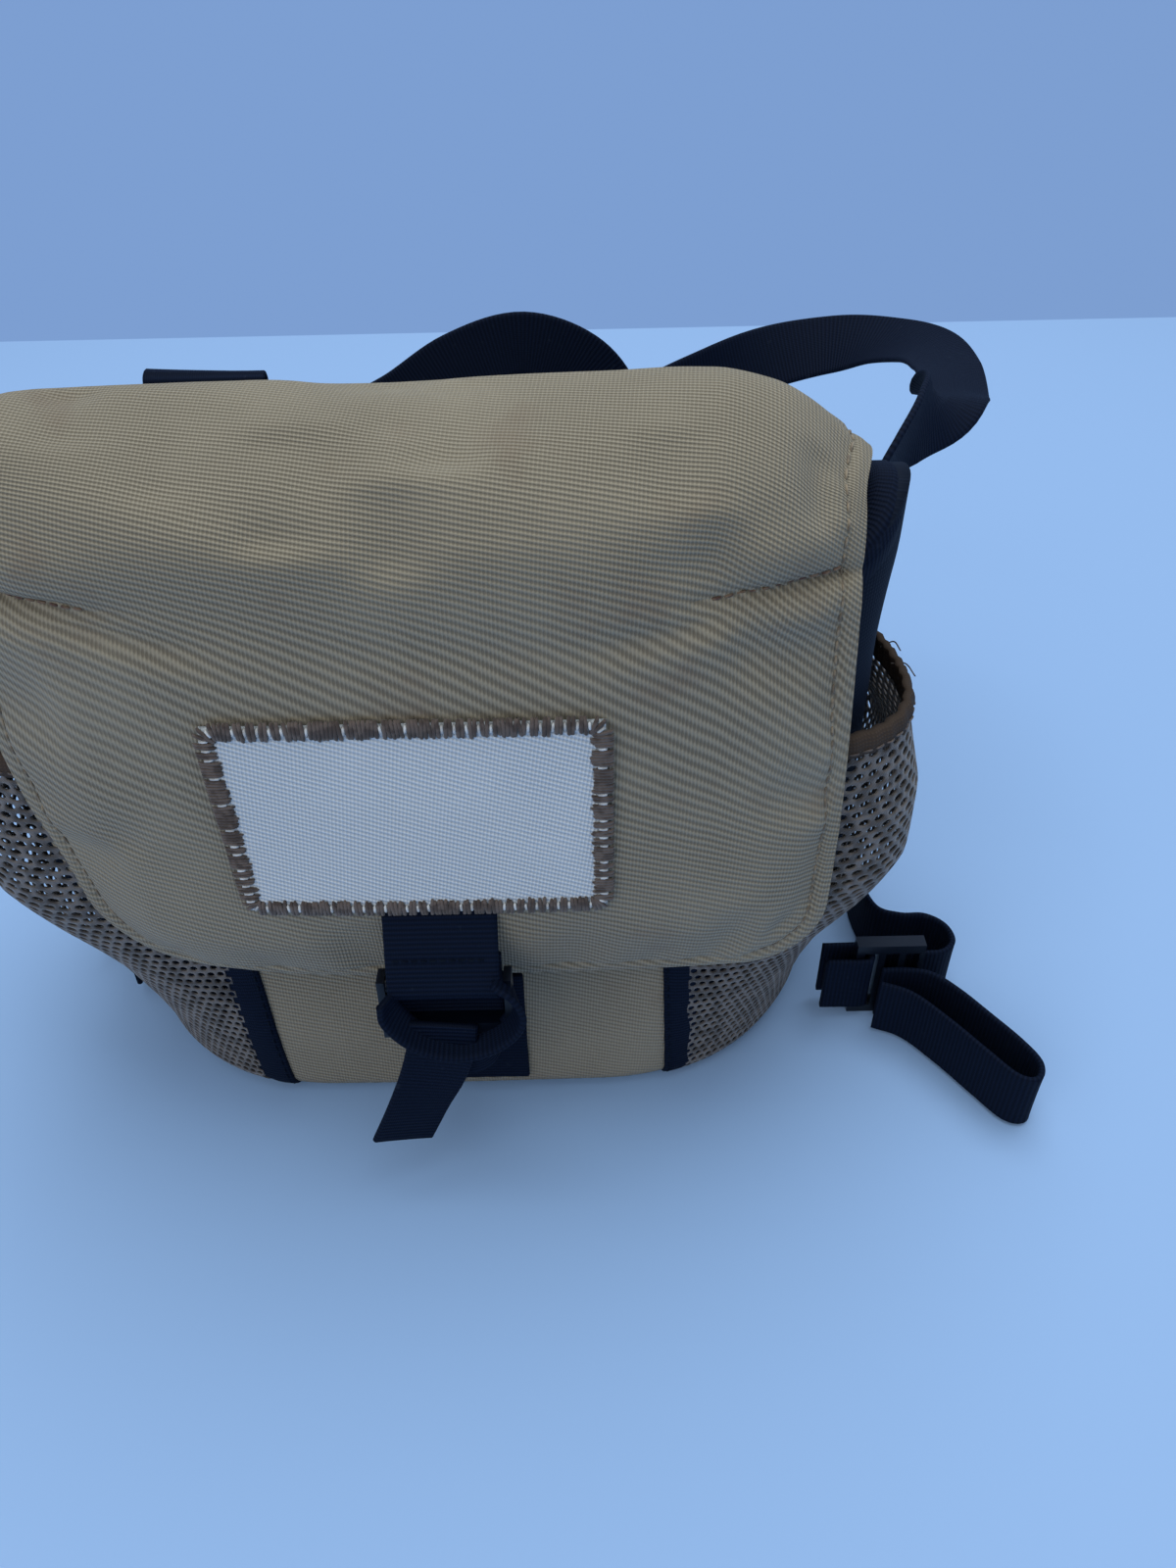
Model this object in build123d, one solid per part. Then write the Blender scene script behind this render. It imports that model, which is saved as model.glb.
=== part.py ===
import os
from math import sqrt

from build123d import *

# Binocular harness pack, millimetres. +X is the pack's right as seen from its front, the front
# faces -Y and +Z is up. The origin is the centre of the base, on the surface it stands on.

# Driving dimensions of the body
BODY_HALF_WIDTH = 96.0
BODY_FRONT = -44.0
BODY_BACK = 41.0
FRONT_RADIUS = 28.0
BACK_RADIUS = 16.0
RIM_FRONT_Z = 160.0
RIM_BACK_Z = 149.0
FRONT_PANEL_HALF = 55.0
BACK_PANEL_HALF = 79.0
CLOTH = 1.0
WALL_FOAM = 4.0
LINING = 0.8
GAP = 0.05
BINDING = 3.0

# Lid, patch and closure
LID_HALF_WIDTH = 90.0
LID_BOTTOM_Z = 57.0
LID_CORNER_RADIUS = 27.0
HINGE_Y = 44.5
HINGE_Z = 157.0
RIDGE_Y = -30.0
RIDGE_CENTRE_Z = 192.0
RIDGE_SIDE_Z = 182.0
LID_FRONT_CENTRE = -57.5
LID_FRONT_SIDE = -53.0
LID_FULLNESS = ((-90.0, 0.0), (-62.0, 0.8), (0.0, 1.0), (62.0, 0.8), (90.0, 0.0))
LID_CENTRE_LAYERS = (1.2, 7.4, 1.0)
LID_SIDE_LAYERS = (1.0, 2.6, 0.8)
PATCH_WIDTH = 80.5
PATCH_HEIGHT = 53.0
PATCH_BORDER = 4.2
PATCH_BOTTOM_Z = 87.0
PATCH_CORNER_RADIUS = 3.0
CLOSURE_X = 0.8
PATCH_OFF_CENTRE = -2.0
WEBBING = 25.4
WEBBING_THICK = 1.5
CLOSURE_SLANT = 24.0
CLOSURE_DROP = 17.0
BAR_RADIUS = 2.0
TAB_WIDTH = 16.0
TAB_TOP_Y = -69.3
TAB_TOP_Z = 59.0
TAB_LEAN = (0.6, 4.0, 9.0, 14.0)
BASE_WEBBING_X = 4.0
BASE_WEBBING_LOW_Z = 9.0
BASE_WEBBING_TOP_Z = 47.5
KEEPER_X = 1.5
KEEPER_HALF = 9.5
KEEPER_FRONT = -66.8
KEEPER_THICK = 1.4
KEEPER_Z = 40.0
KEEPER_HEIGHT = 6.0
HOOK_CHEEK = 1.8
HOOK_DROP = 15.0
HOOK_HALF_DEPTH = 2.4
FINGER_HALF = 6.0
FINGER_REACH = 11.0

# Pockets
POCKET_TOP_Z = 117.0
MESH_THICK = 1.0
POCKET_LEVELS = ((1.2, 98.0), (26.0, 101.5), (76.0, 113.0), (POCKET_TOP_Z, 106.0))
POCKET_BINDING = 7.0

# Harness
STRAP_WIDTH = 20.0
STRAP_THICK = 1.5
LOCK_RAIL = 3.0
YOKE_Y = 111.0
YOKE_HALF_WIDTH = 24.0
YOKE_HEIGHT = 44.0
SLIDER_Z = {"left": 55.0, "right": 81.0}
SLIDER_HALF_HEIGHT = 8.0
SLIDER_HALF_DEPTH = 3.6
HARDWARE_CLEARANCE = 0.8
LOCK_HALF_WIDTH = 9.5
LOCK_HALF_THICK = 2.0
LOCK_SLOT_HALF = 1.9
YOKE_PATCH_THICK = 1.4
YOKE_PATCH_RADIUS = 8.0
STRIP_HALF_WIDTH = 4.5
STRIP_TOP_Z = 150.0
STRAP_DROP_X = 12.5
REAR_LOOP_WIDTH = 31.0
REAR_LOOP_X = 61.0

BODY_DEPTH = BODY_BACK - BODY_FRONT
BODY_MIDDLE_Y = (BODY_FRONT + BODY_BACK) / 2
WALL = CLOTH + WALL_FOAM + LINING + 2 * GAP
SIDES = {"left": -1, "right": 1}


def box(low, high):
    """A box between two corners."""
    size = [high[i] - low[i] for i in range(3)]
    middle = [(high[i] + low[i]) / 2 for i in range(3)]
    return Pos(*middle) * Box(*size)


def mirrored(solid, side):
    """The right-hand solid itself, or its copy on the left."""
    if side > 0:
        return solid
    return mirror(solid, about=Plane.YZ)


def plan(inset):
    """The body's rounded rectangle, drawn in by an inset."""
    outline = Rectangle(2 * (BODY_HALF_WIDTH - inset), BODY_DEPTH - 2 * inset)
    outline = fillet(outline.vertices().group_by(Axis.Y)[0], FRONT_RADIUS - inset)
    outline = fillet(outline.vertices().group_by(Axis.Y)[-1], BACK_RADIUS - inset)
    return Pos(0, BODY_MIDDLE_Y) * outline


def rim_plane(rise):
    """The slanting plane of the mouth, lifted by a rise."""
    slope = (RIM_BACK_Z - RIM_FRONT_Z) / BODY_DEPTH
    return Plane(origin=(0, BODY_FRONT, RIM_FRONT_Z + rise), x_dir=(1, 0, 0), z_dir=(0, -slope, 1))


def wall_ring(outer_inset, inner_inset):
    """One layer of the wall, all the way round, up to the slanting mouth."""
    ring = extrude(plan(outer_inset) - plan(inner_inset), amount=RIM_FRONT_Z + 20)
    ring = Pos(0, 0, CLOTH + GAP) * ring
    return split(ring, bisect_by=rim_plane(0), keep=Keep.BOTTOM)


def panel_zones():
    """The plan areas that each wall panel takes from a ring."""
    half, front, back, edge = BODY_HALF_WIDTH + 5, BODY_FRONT - 5, BODY_BACK + 5, 0.1
    split_y = BODY_BACK - BACK_RADIUS
    top = RIM_FRONT_Z + 30
    side = box((FRONT_PANEL_HALF + edge, front, -1), (half, split_y, top))
    side += box((BACK_PANEL_HALF + edge, split_y - 1, -1), (half, back, top))
    return {
        "front": box((-FRONT_PANEL_HALF, front, -1), (FRONT_PANEL_HALF, BODY_FRONT + 12, top)),
        "back": box((-BACK_PANEL_HALF, BODY_BACK - 12, -1), (BACK_PANEL_HALF, back, top)),
        "right": side,
        "left": mirror(side, about=Plane.YZ),
    }


def body_panels():
    """Front, back and side panels, each of an outer cloth, a foam and a lining."""
    insets = {
        "outer": (0.0, CLOTH),
        "foam": (CLOTH + GAP, CLOTH + GAP + WALL_FOAM),
        "lining": (WALL - LINING, WALL),
    }
    made = {}
    for layer, (outer_inset, inner_inset) in insets.items():
        ring = wall_ring(outer_inset, inner_inset)
        for name, zone in panel_zones().items():
            made[f"{name}_{layer}"] = ring & zone
    return made


def base_panel():
    """The base: cloth across the whole underside, and a stiffener and lining between the walls."""
    foam_low = CLOTH + GAP
    lining_low = foam_low + WALL_FOAM + GAP
    inside = WALL + GAP
    return {
        "base_outer": extrude(plan(0), amount=CLOTH),
        "base_foam": Pos(0, 0, foam_low) * extrude(plan(inside), amount=WALL_FOAM),
        "base_lining": Pos(0, 0, lining_low) * extrude(plan(inside), amount=LINING),
    }


def rim_binding():
    """The tape folded over the raw edges of the mouth, as one ring."""
    ring = extrude(plan(-CLOTH + 0.2) - plan(WALL + 0.8), amount=RIM_FRONT_Z + 30)
    ring = split(ring, bisect_by=rim_plane(GAP), keep=Keep.TOP)
    return split(ring, bisect_by=rim_plane(GAP + BINDING), keep=Keep.BOTTOM)


def closed_solid(triangles):
    """A solid bounded by triangles that close up."""
    faces = [Face(Wire.make_polygon(corners, close=True)) for corners in triangles]
    return Solid(Shell(faces))


def ribbon(stations, width, thick):
    """A strap through stations (point, width direction), as straight runs with mitred turns."""
    points = [Vector(*place) for place, _ in stations]
    last = len(points) - 1
    sections = []
    for index, (_, across) in enumerate(stations):
        here = points[index]
        ahead = (points[min(index + 1, last)] - points[min(index, last - 1)]).normalized()
        behind = (points[max(index, 1)] - points[max(index - 1, 0)]).normalized()
        along = (ahead + behind).normalized()
        side = Vector(*across)
        side = (side - along * side.dot(along)).normalized()
        normal = along.cross(side) * (thick / 2 / max(along.dot(ahead), 0.6))
        half = side * (width / 2)
        corners = (here + half + normal, here - half + normal, here - half - normal, here + half - normal)
        sections.append([tuple(corner) for corner in corners])
    triangles = []
    for first, second in zip(sections, sections[1:]):
        for corner in range(4):
            after = (corner + 1) % 4
            triangles.append((first[corner], first[after], second[after]))
            triangles.append((first[corner], second[after], second[corner]))
    for section in (sections[0], sections[-1]):
        triangles.append((section[0], section[1], section[2]))
        triangles.append((section[0], section[2], section[3]))
    return closed_solid(triangles)


def lid_curve(centre_share, depth):
    """The lid's profile from the hinge over the ridge and down the front, drawn in by a depth.

    centre_share is 1 on the middle line and 0 at the side hems.
    """
    ridge = RIDGE_SIDE_Z + (RIDGE_CENTRE_Z - RIDGE_SIDE_Z) * centre_share
    front = LID_FRONT_SIDE + (LID_FRONT_CENTRE - LID_FRONT_SIDE) * centre_share
    back_z = HINGE_Z + 3.2 + 3.3 * centre_share
    bottom = front + 1.5 * centre_share
    outline = [
        (HINGE_Y - 1.0, back_z),
        (HINGE_Y - 20.0, back_z + (ridge - back_z) * 0.36),
        (HINGE_Y - 42.0, back_z + (ridge - back_z) * 0.70),
        (RIDGE_Y + 14.0, back_z + (ridge - back_z) * 0.93),
        (RIDGE_Y, ridge),
        (RIDGE_Y - 12.5, ridge - 4.0),
        (front + 4.5, ridge - 14.0),
        (front, ridge - 34.0),
        (front, (ridge + LID_BOTTOM_Z) / 2 - 12.0),
        (front, LID_BOTTOM_Z + 28.0),
        (bottom, LID_BOTTOM_Z),
    ]
    drawn_in = []
    for index, (y, z) in enumerate(outline):
        y0, z0 = outline[max(index - 1, 0)]
        y1, z1 = outline[min(index + 1, len(outline) - 1)]
        length = sqrt((y1 - y0) ** 2 + (z1 - z0) ** 2)
        normal_y, normal_z = -(z1 - z0) / length, (y1 - y0) / length
        drawn_in.append((y + depth * normal_y, z + depth * normal_z))
    drawn_in[-1] = (drawn_in[-1][0], LID_BOTTOM_Z)
    return drawn_in


def lid_layer(layer):
    """One layer of the lid, crowned across its width, with rounded lower corners."""
    wires = []
    for x, share in LID_FULLNESS:
        layers = [
            side + (centre - side) * share
            for centre, side in zip(LID_CENTRE_LAYERS, LID_SIDE_LAYERS)
        ]
        start = sum(layers[:layer]) + GAP * 2 * layer
        outer = [(x, y, z) for y, z in lid_curve(share, start)]
        inner = [(x, y, z) for y, z in lid_curve(share, start + layers[layer])]
        edges = [
            Edge.make_spline([Vector(*p) for p in outer]),
            Edge.make_line(outer[-1], inner[-1]),
            Edge.make_spline([Vector(*p) for p in reversed(inner)]),
            Edge.make_line(inner[0], outer[0]),
        ]
        wires.append(Wire(edges))
    shell = Solid.make_loft(wires, False)
    corner = LID_CORNER_RADIUS
    for side in (-1, 1):
        centre_x = side * (LID_HALF_WIDTH - corner)
        centre_z = LID_BOTTOM_Z + corner
        low_x, high_x = sorted((centre_x, side * (LID_HALF_WIDTH + 5)))
        block = box((low_x, -90, LID_BOTTOM_Z - 5), (high_x, -30, centre_z))
        round_bar = Pos(centre_x, -60, centre_z) * Rot(X=90) * Cylinder(corner, 80)
        shell = shell - (block - round_bar)
    return shell


def patch():
    """The sewn patch: a plain cloth field and its overlocked border."""
    face_y = LID_FRONT_CENTRE - WEBBING_THICK - 0.5
    middle_z = PATCH_BOTTOM_Z + PATCH_HEIGHT / 2
    thick = 1.2
    outer = RectangleRounded(PATCH_WIDTH, PATCH_HEIGHT, PATCH_CORNER_RADIUS)
    inner = Rectangle(PATCH_WIDTH - 2 * PATCH_BORDER, PATCH_HEIGHT - 2 * PATCH_BORDER)
    field = Rectangle(
        PATCH_WIDTH - 2 * PATCH_BORDER - 2 * GAP, PATCH_HEIGHT - 2 * PATCH_BORDER - 2 * GAP
    )
    place = Pos(CLOSURE_X + PATCH_OFF_CENTRE, face_y, middle_z) * Rot(X=90)
    return {
        "patch_border": place * extrude(outer - inner, amount=thick),
        "patch_field": place * extrude(field, amount=thick - 0.3),
    }


def closure_anchor():
    """The sewn end of the closure webbing, on the lid beneath the patch."""
    low = (CLOSURE_X - WEBBING / 2, LID_FRONT_CENTRE - 0.3 - WEBBING_THICK, PATCH_BOTTOM_Z + 0.5)
    high = (CLOSURE_X + WEBBING / 2, LID_FRONT_CENTRE - 0.3, PATCH_BOTTOM_Z + 26.0)
    return box(low, high)


def closure_place():
    """Where the closure strap leaves the patch, with -Z along the strap as it slants out."""
    return Pos(CLOSURE_X, LID_FRONT_CENTRE + 0.3, PATCH_BOTTOM_Z - 2.9) * Rot(X=-CLOSURE_SLANT)


def closure_strap():
    """The 25 mm webbing, taken down round the hook's bar and sewn back up behind itself."""
    inner = BAR_RADIUS + 0.35
    outer = inner + WEBBING_THICK
    front_ply = box((-WEBBING / 2, -outer, -CLOSURE_DROP), (WEBBING / 2, -inner, 0))
    back_ply = box((-WEBBING / 2, inner, -CLOSURE_DROP), (WEBBING / 2, outer, -CLOSURE_DROP + 6.0))
    turn = Cylinder(outer, WEBBING) - Cylinder(inner, WEBBING + 2)
    turn = Pos(0, 0, -CLOSURE_DROP) * Rot(Y=90) * turn
    turn = turn & box((-WEBBING, -10, -CLOSURE_DROP - 10), (WEBBING, 10, -CLOSURE_DROP))
    return closure_place() * (front_ply + back_ply + turn)


def closure_hook():
    """The moulded hook: a bar in the strap's fold, two cheeks, a lower bar and a hook finger."""
    half = WEBBING / 2 + 0.6
    outer = half + HOOK_CHEEK
    depth = HOOK_HALF_DEPTH
    frame = Rot(Y=90) * Cylinder(BAR_RADIUS, 2 * half + 2)
    for side in (-1, 1):
        low_x, high_x = sorted((side * half, side * outer))
        frame += box((low_x, -depth, -HOOK_DROP), (high_x, depth, depth + 0.2))
    frame += box((-outer, -depth, -HOOK_DROP), (outer, depth, -HOOK_DROP + 4.2))
    root_top = -HOOK_DROP + 3.0
    frame += box((-FINGER_HALF, depth - 0.4, -HOOK_DROP), (FINGER_HALF, 7.5, root_top))
    frame += box((-FINGER_HALF, 5.0, -HOOK_DROP - FINGER_REACH), (FINGER_HALF, 7.5, root_top))
    return closure_place() * Pos(0, 0, -CLOSURE_DROP) * Rot(X=CLOSURE_SLANT - 4) * frame


def pull_tab():
    """The webbing tab that lifts the hook off its keeper."""
    top_x = CLOSURE_X - 1.0
    stations = [
        ((top_x, TAB_TOP_Y, TAB_TOP_Z), (1, 0, 0)),
        ((top_x - TAB_LEAN[0], TAB_TOP_Y - 0.6, TAB_TOP_Z - 8), (1, 0.03, 0.05)),
        ((top_x - TAB_LEAN[1], TAB_TOP_Y - 1.2, TAB_TOP_Z - 18), (1, 0.15, 0.12)),
        ((top_x - TAB_LEAN[2], TAB_TOP_Y - 2.4, TAB_TOP_Z - 29), (1, 0.3, 0.15)),
        ((top_x - TAB_LEAN[3], TAB_TOP_Y - 3.6, TAB_TOP_Z - 41), (1, 0.35, 0.15)),
    ]
    return ribbon(stations, TAB_WIDTH, WEBBING_THICK)


def keeper_loop():
    """The elastic loop on the base webbing that the hook's finger drops into."""
    back = BODY_FRONT - GAP - WEBBING_THICK - GAP
    high_z = KEEPER_Z + KEEPER_HEIGHT
    thick = KEEPER_THICK
    low = (KEEPER_X - KEEPER_HALF, KEEPER_FRONT, KEEPER_Z)
    high = (KEEPER_X + KEEPER_HALF, back, high_z)
    inner_low = (KEEPER_X - KEEPER_HALF + thick, KEEPER_FRONT + thick, KEEPER_Z - 1)
    inner_high = (KEEPER_X + KEEPER_HALF - thick, back - thick, high_z + 1)
    return box(low, high) - box(inner_low, inner_high)


def base_webbing():
    """The 25 mm webbing sewn up the middle of the front panel, which carries the keeper."""
    low = (BASE_WEBBING_X - WEBBING / 2, BODY_FRONT - GAP - WEBBING_THICK, BASE_WEBBING_LOW_Z)
    high = (BASE_WEBBING_X + WEBBING / 2, BODY_FRONT - GAP, BASE_WEBBING_TOP_Z)
    return box(low, high)


def pocket_section(level_z, reach, inset):
    """The pocket's plan line at one height, from the front strip round to the back corner."""
    swell = reach - BODY_HALF_WIDTH
    arc_share = 1 / sqrt(2)
    corner = FRONT_RADIUS * (1 - arc_share)
    corner_swell = (0.6 * swell + 0.6 + MESH_THICK) * arc_share
    points = [
        (FRONT_PANEL_HALF + 6.0, BODY_FRONT - 0.3 - MESH_THICK),
        (FRONT_PANEL_HALF + 13.0, BODY_FRONT - 0.5 - MESH_THICK),
        (BODY_HALF_WIDTH - corner + corner_swell, BODY_FRONT + corner - corner_swell),
        (BODY_HALF_WIDTH + 0.9 * swell + 0.3, BODY_FRONT + FRONT_RADIUS),
        (reach, BODY_MIDDLE_Y + 5.0),
        (BODY_HALF_WIDTH + 0.55 * swell, BODY_BACK - 10.0),
        (BODY_HALF_WIDTH - 5.0, BODY_BACK + 0.8 + MESH_THICK),
        (BACK_PANEL_HALF + 1.5, BODY_BACK + 0.3 + MESH_THICK),
    ]
    drawn_in = []
    for index, (x, y) in enumerate(points):
        x0, y0 = points[max(index - 1, 0)]
        x1, y1 = points[min(index + 1, len(points) - 1)]
        length = sqrt((x1 - x0) ** 2 + (y1 - y0) ** 2)
        drawn_in.append((x - inset * (y1 - y0) / length, y + inset * (x1 - x0) / length, level_z))
    return drawn_in


def pocket_shell(levels):
    """A thin shell of mesh through plan lines at several heights, open at its top."""
    wires = []
    for level_z, reach in levels:
        outer = pocket_section(level_z, reach, 0.0)
        inner = pocket_section(level_z, reach, MESH_THICK)
        edges = [
            Edge.make_spline([Vector(*p) for p in outer]),
            Edge.make_line(outer[-1], inner[-1]),
            Edge.make_spline([Vector(*p) for p in reversed(inner)]),
            Edge.make_line(inner[0], outer[0]),
        ]
        wires.append(Wire(edges))
    return Solid.make_loft(wires, False)


def pockets():
    """Both mesh pockets and the elastic bindings on their mouths."""
    mesh = pocket_shell(POCKET_LEVELS)
    top_reach = POCKET_LEVELS[-1][1]
    binding_top = POCKET_TOP_Z + POCKET_BINDING
    binding_levels = ((POCKET_TOP_Z + GAP, top_reach), (binding_top, top_reach - 1.0))
    elastic = pocket_shell(binding_levels)
    made = {}
    for name, side in SIDES.items():
        made[f"{name}_pocket_mesh"] = mirrored(mesh, side)
        made[f"{name}_pocket_elastic"] = mirrored(elastic, side)
    return made


def front_strips():
    """The binding tapes over the seams between front panel and sides."""
    low = (FRONT_PANEL_HALF - STRIP_HALF_WIDTH, BODY_FRONT - GAP - CLOTH, 1.2)
    high = (FRONT_PANEL_HALF + STRIP_HALF_WIDTH, BODY_FRONT - GAP, STRIP_TOP_Z)
    strip = box(low, high)
    return {f"{name}_front_strip": mirrored(strip, side) for name, side in SIDES.items()}


def rear_loop():
    """A wide webbing loop on the back panel, standing a little above the hinge line."""
    on_back = BODY_BACK + GAP + WEBBING_THICK / 2
    route = [
        (on_back, 84.0),
        (on_back, 126.0),
        (on_back + 4.2, 137.5),
        (on_back + 16.0, 158.5),
        (on_back + 18.4, 161.6),
        (on_back + 21.0, 160.8),
        (on_back + 21.6, 157.5),
        (on_back + 14.0, 130.0),
        (on_back + 8.0, 106.0),
        (on_back + 3.6, 94.0),
        (on_back + 1.7, 84.0),
    ]
    stations = [((REAR_LOOP_X, y, z), (1, 0, 0)) for y, z in route]
    return ribbon(stations, REAR_LOOP_WIDTH, WEBBING_THICK)


def hinge_tape():
    """The tape along the top of the back panel that the lid is sewn to."""
    low = (-LID_HALF_WIDTH + 14.0, BODY_BACK + 0.9, 139.0)
    high = (LID_HALF_WIDTH - 14.0, BODY_BACK + 2.1, HINGE_Z - 1.0)
    return box(low, high)


def upper_anchor():
    """A webbing tab sewn to the side panel above the pocket."""
    x = BODY_HALF_WIDTH + GAP + STRAP_THICK / 2
    return ribbon([((x, 10, 126), (0, 1, 0)), ((x, 10, 148), (0, 1, 0))], STRAP_WIDTH, STRAP_THICK)


RIGHT_SHOULDER = [
    ((99, 10, 128), (0, 1, 0)),
    ((99.4, 10, 143), (0, 1, 0)),
    ((101.2, 10.5, 150), (0, 1, 0)),
    ((106, 14.5, 156), (-0.2, 0.9, 0.2)),
    ((114, 25, 159), (-0.4, 0.5, 0.7)),
    ((125, 42, 155), (0.1, 0.1, 0.95)),
    ((132, 63, 152), (0.35, 0, 0.92)),
    ((137, 88, 149), (0.3, 0, 0.95)),
    ((137, 111, 146), (0.2, 0.1, 0.95)),
    ((130, 131, 141), (0, 0.2, 0.95)),
    ((116, 143, 136), (0, 0.3, 0.95)),
    ((98, 145, 132), (0, 0.3, 0.95)),
    ((78, 139, 128), (0.1, 0.2, 0.95)),
    ((58, 129, 124), (0.3, 0.1, 0.9)),
    ((38, 119, 117), (0.6, 0, 0.75)),
    ((20, 112.5, 109), (0.9, 0, 0.4)),
    ((STRAP_DROP_X, YOKE_Y, 97), (1, 0, 0)),
    ((STRAP_DROP_X, YOKE_Y, 24), (1, 0, 0)),
]
LEFT_SHOULDER = [
    ((-99, 10, 128), (0, 1, 0)),
    ((-99.4, 10, 141), (0, 1, 0)),
    ((-101.2, 10.5, 148), (0, 1, 0)),
    ((-105.5, 16, 152), (0.2, 0.9, 0.3)),
    ((-109, 32, 150), (0.2, 0.3, 0.9)),
    ((-104, 55, 141), (-0.3, 0.1, 0.9)),
    ((-92, 82, 129), (-0.1, 0.1, 0.95)),
    ((-72, 108, 118), (0, 0.2, 0.95)),
    ((-50, 129, 114), (0, 0.2, 0.95)),
    ((-27, 141, 120), (0, 0.2, 0.95)),
    ((-6, 147, 131), (0, 0.2, 0.95)),
    ((16, 150, 136), (0, 0.15, 0.95)),
    ((36, 151, 128), (0.4, 0.1, 0.85)),
    ((46, 150, 112), (0.85, 0.1, 0.45)),
    ((44, 146, 94), (0.95, 0.1, 0)),
    ((31, 139, 82), (0.85, 0.1, -0.5)),
    ((15, 132, 80), (0.5, 0.1, -0.8)),
    ((0, 124.5, 84), (0.6, 0.1, -0.7)),
    ((-9, 117.5, 84), (0.85, 0.1, -0.4)),
    ((-12.2, 112.5, 79), (1, 0, -0.1)),
    ((-STRAP_DROP_X, YOKE_Y, 72), (1, 0, 0)),
    ((-STRAP_DROP_X, YOKE_Y, 23.5), (1, 0, 0)),
]
# Straps that lie on edge on the surface, as plan points: their lower edge is at the base's level.
RIGHT_LOWER = [
    (1.5, YOKE_Y), (30, YOKE_Y), (62, 105), (90, 88), (108, 64), (116, 38), (116, 16), (118.5, 4),
    (125, 0.5), (132, 0), (137, -4), (138, -10), (134.5, -14), (129, -14.6), (122, -14.3), (115.5, -14.3),
]
LEFT_LOWER = [
    (-1.5, YOKE_Y), (-30, YOKE_Y), (-62, 104), (-90, 90), (-108, 72), (-115.5, 54), (-116.2, 38),
    (-116.2, 25),
]
RIGHT_TAIL = [
    (115.5, -20.7), (122, -20.7), (129, -22.5), (135, -28.5), (141, -37), (147, -46), (150, -53),
    (148, -58), (143, -57), (137, -49), (130, -39), (122, -29.5), (114, -25.5),
]
LEFT_TAIL = [
    (-109.8, 25), (-109.8, 38), (-107, 52), (-100, 64), (-90, 70), (-78, 68),
]
RIGHT_LOCK = (117.5, -17.5)
LEFT_LOCK = (-113.0, 26.0)
RIGHT_ANCHOR = [
    (101.6, -14.3), (110.5, -14.3), (112.3, -15.2), (112.8, -17.5), (112.3, -19.8), (110.5, -20.7),
    (101.6, -20.7),
]
LEFT_ANCHOR = [
    (-102.2, -6), (-105.2, 5), (-109.0, 12), (-109.8, 18.4), (-110.8, 20.6), (-113, 21.3),
    (-115.4, 20.4), (-116.2, 18), (-116.2, 12),
]


def on_edge(plan_points, lift=0.1):
    """A strap that stands on its edge along plan points."""
    middle_z = STRAP_WIDTH / 2 + lift
    stations = [((x, y, middle_z), (0, 0, 1)) for x, y in plan_points]
    return ribbon(stations, STRAP_WIDTH, STRAP_THICK)


def harness():
    """The webbing of the harness and the patches that hold its crossing."""
    made = {
        "right_shoulder_strap": ribbon(RIGHT_SHOULDER, STRAP_WIDTH, STRAP_THICK),
        "left_shoulder_strap": ribbon(LEFT_SHOULDER, STRAP_WIDTH, STRAP_THICK),
        "right_lower_strap": on_edge(RIGHT_LOWER),
        "left_lower_strap": on_edge(LEFT_LOWER),
        "right_strap_tail": on_edge(RIGHT_TAIL),
        "left_strap_tail": on_edge(LEFT_TAIL),
        "right_lower_anchor": on_edge(RIGHT_ANCHOR, LOCK_RAIL + 0.9),
        "left_lower_anchor": on_edge(LEFT_ANCHOR, LOCK_RAIL + 0.9),
    }
    outline = RectangleRounded(2 * YOKE_HALF_WIDTH, YOKE_HEIGHT, YOKE_PATCH_RADIUS)
    plate = extrude(outline, amount=YOKE_PATCH_THICK)
    reach = STRAP_THICK / 2 + 0.1
    upright = Pos(0, 0, YOKE_HEIGHT / 2) * Rot(X=90)
    made["yoke_front_patch"] = Pos(0, YOKE_Y - reach, 0) * upright * plate
    made["yoke_back_patch"] = Pos(0, YOKE_Y + reach + YOKE_PATCH_THICK, 0) * upright * plate
    return made


def sliders():
    """Tri-glides that slide on the straight runs of the shoulder straps."""
    clear = STRAP_WIDTH / 2 + HARDWARE_CLEARANCE
    deep, tall = SLIDER_HALF_DEPTH, SLIDER_HALF_HEIGHT
    frame = box((-clear - 2.6, -deep, -tall), (clear + 2.6, deep, tall))
    frame -= box((-clear, -1.3, -tall - 1), (clear, 1.3, tall + 1))
    for low_z in (-5.0, 1.6):
        frame -= box((-clear, -deep - 1, low_z), (clear, 0, low_z + 3.4))
    return {
        f"{name}_slider": Pos(side * STRAP_DROP_X, YOKE_Y, SLIDER_Z[name]) * frame
        for name, side in SIDES.items()
    }


def ladder_locks():
    """Ladder-locks on edge beside the pockets: two rails, an anchor bar and strap bars."""
    half = STRAP_WIDTH / 2 + HARDWARE_CLEARANCE
    wide, thick, slot = LOCK_HALF_WIDTH, LOCK_HALF_THICK, LOCK_SLOT_HALF
    frame = box((-wide, -thick, -half - LOCK_RAIL), (wide, thick, half + LOCK_RAIL))
    for middle in (-5.2, 0.6, 6.2):
        frame -= box((middle - slot, -thick - 1, -half), (middle + slot, thick + 1, half))
    lift = half + LOCK_RAIL + 0.1
    return {
        "right_ladder_lock": Pos(*RIGHT_LOCK, lift) * frame,
        "left_ladder_lock": Pos(*LEFT_LOCK, lift) * Rot(Z=90) * frame,
    }


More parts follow.
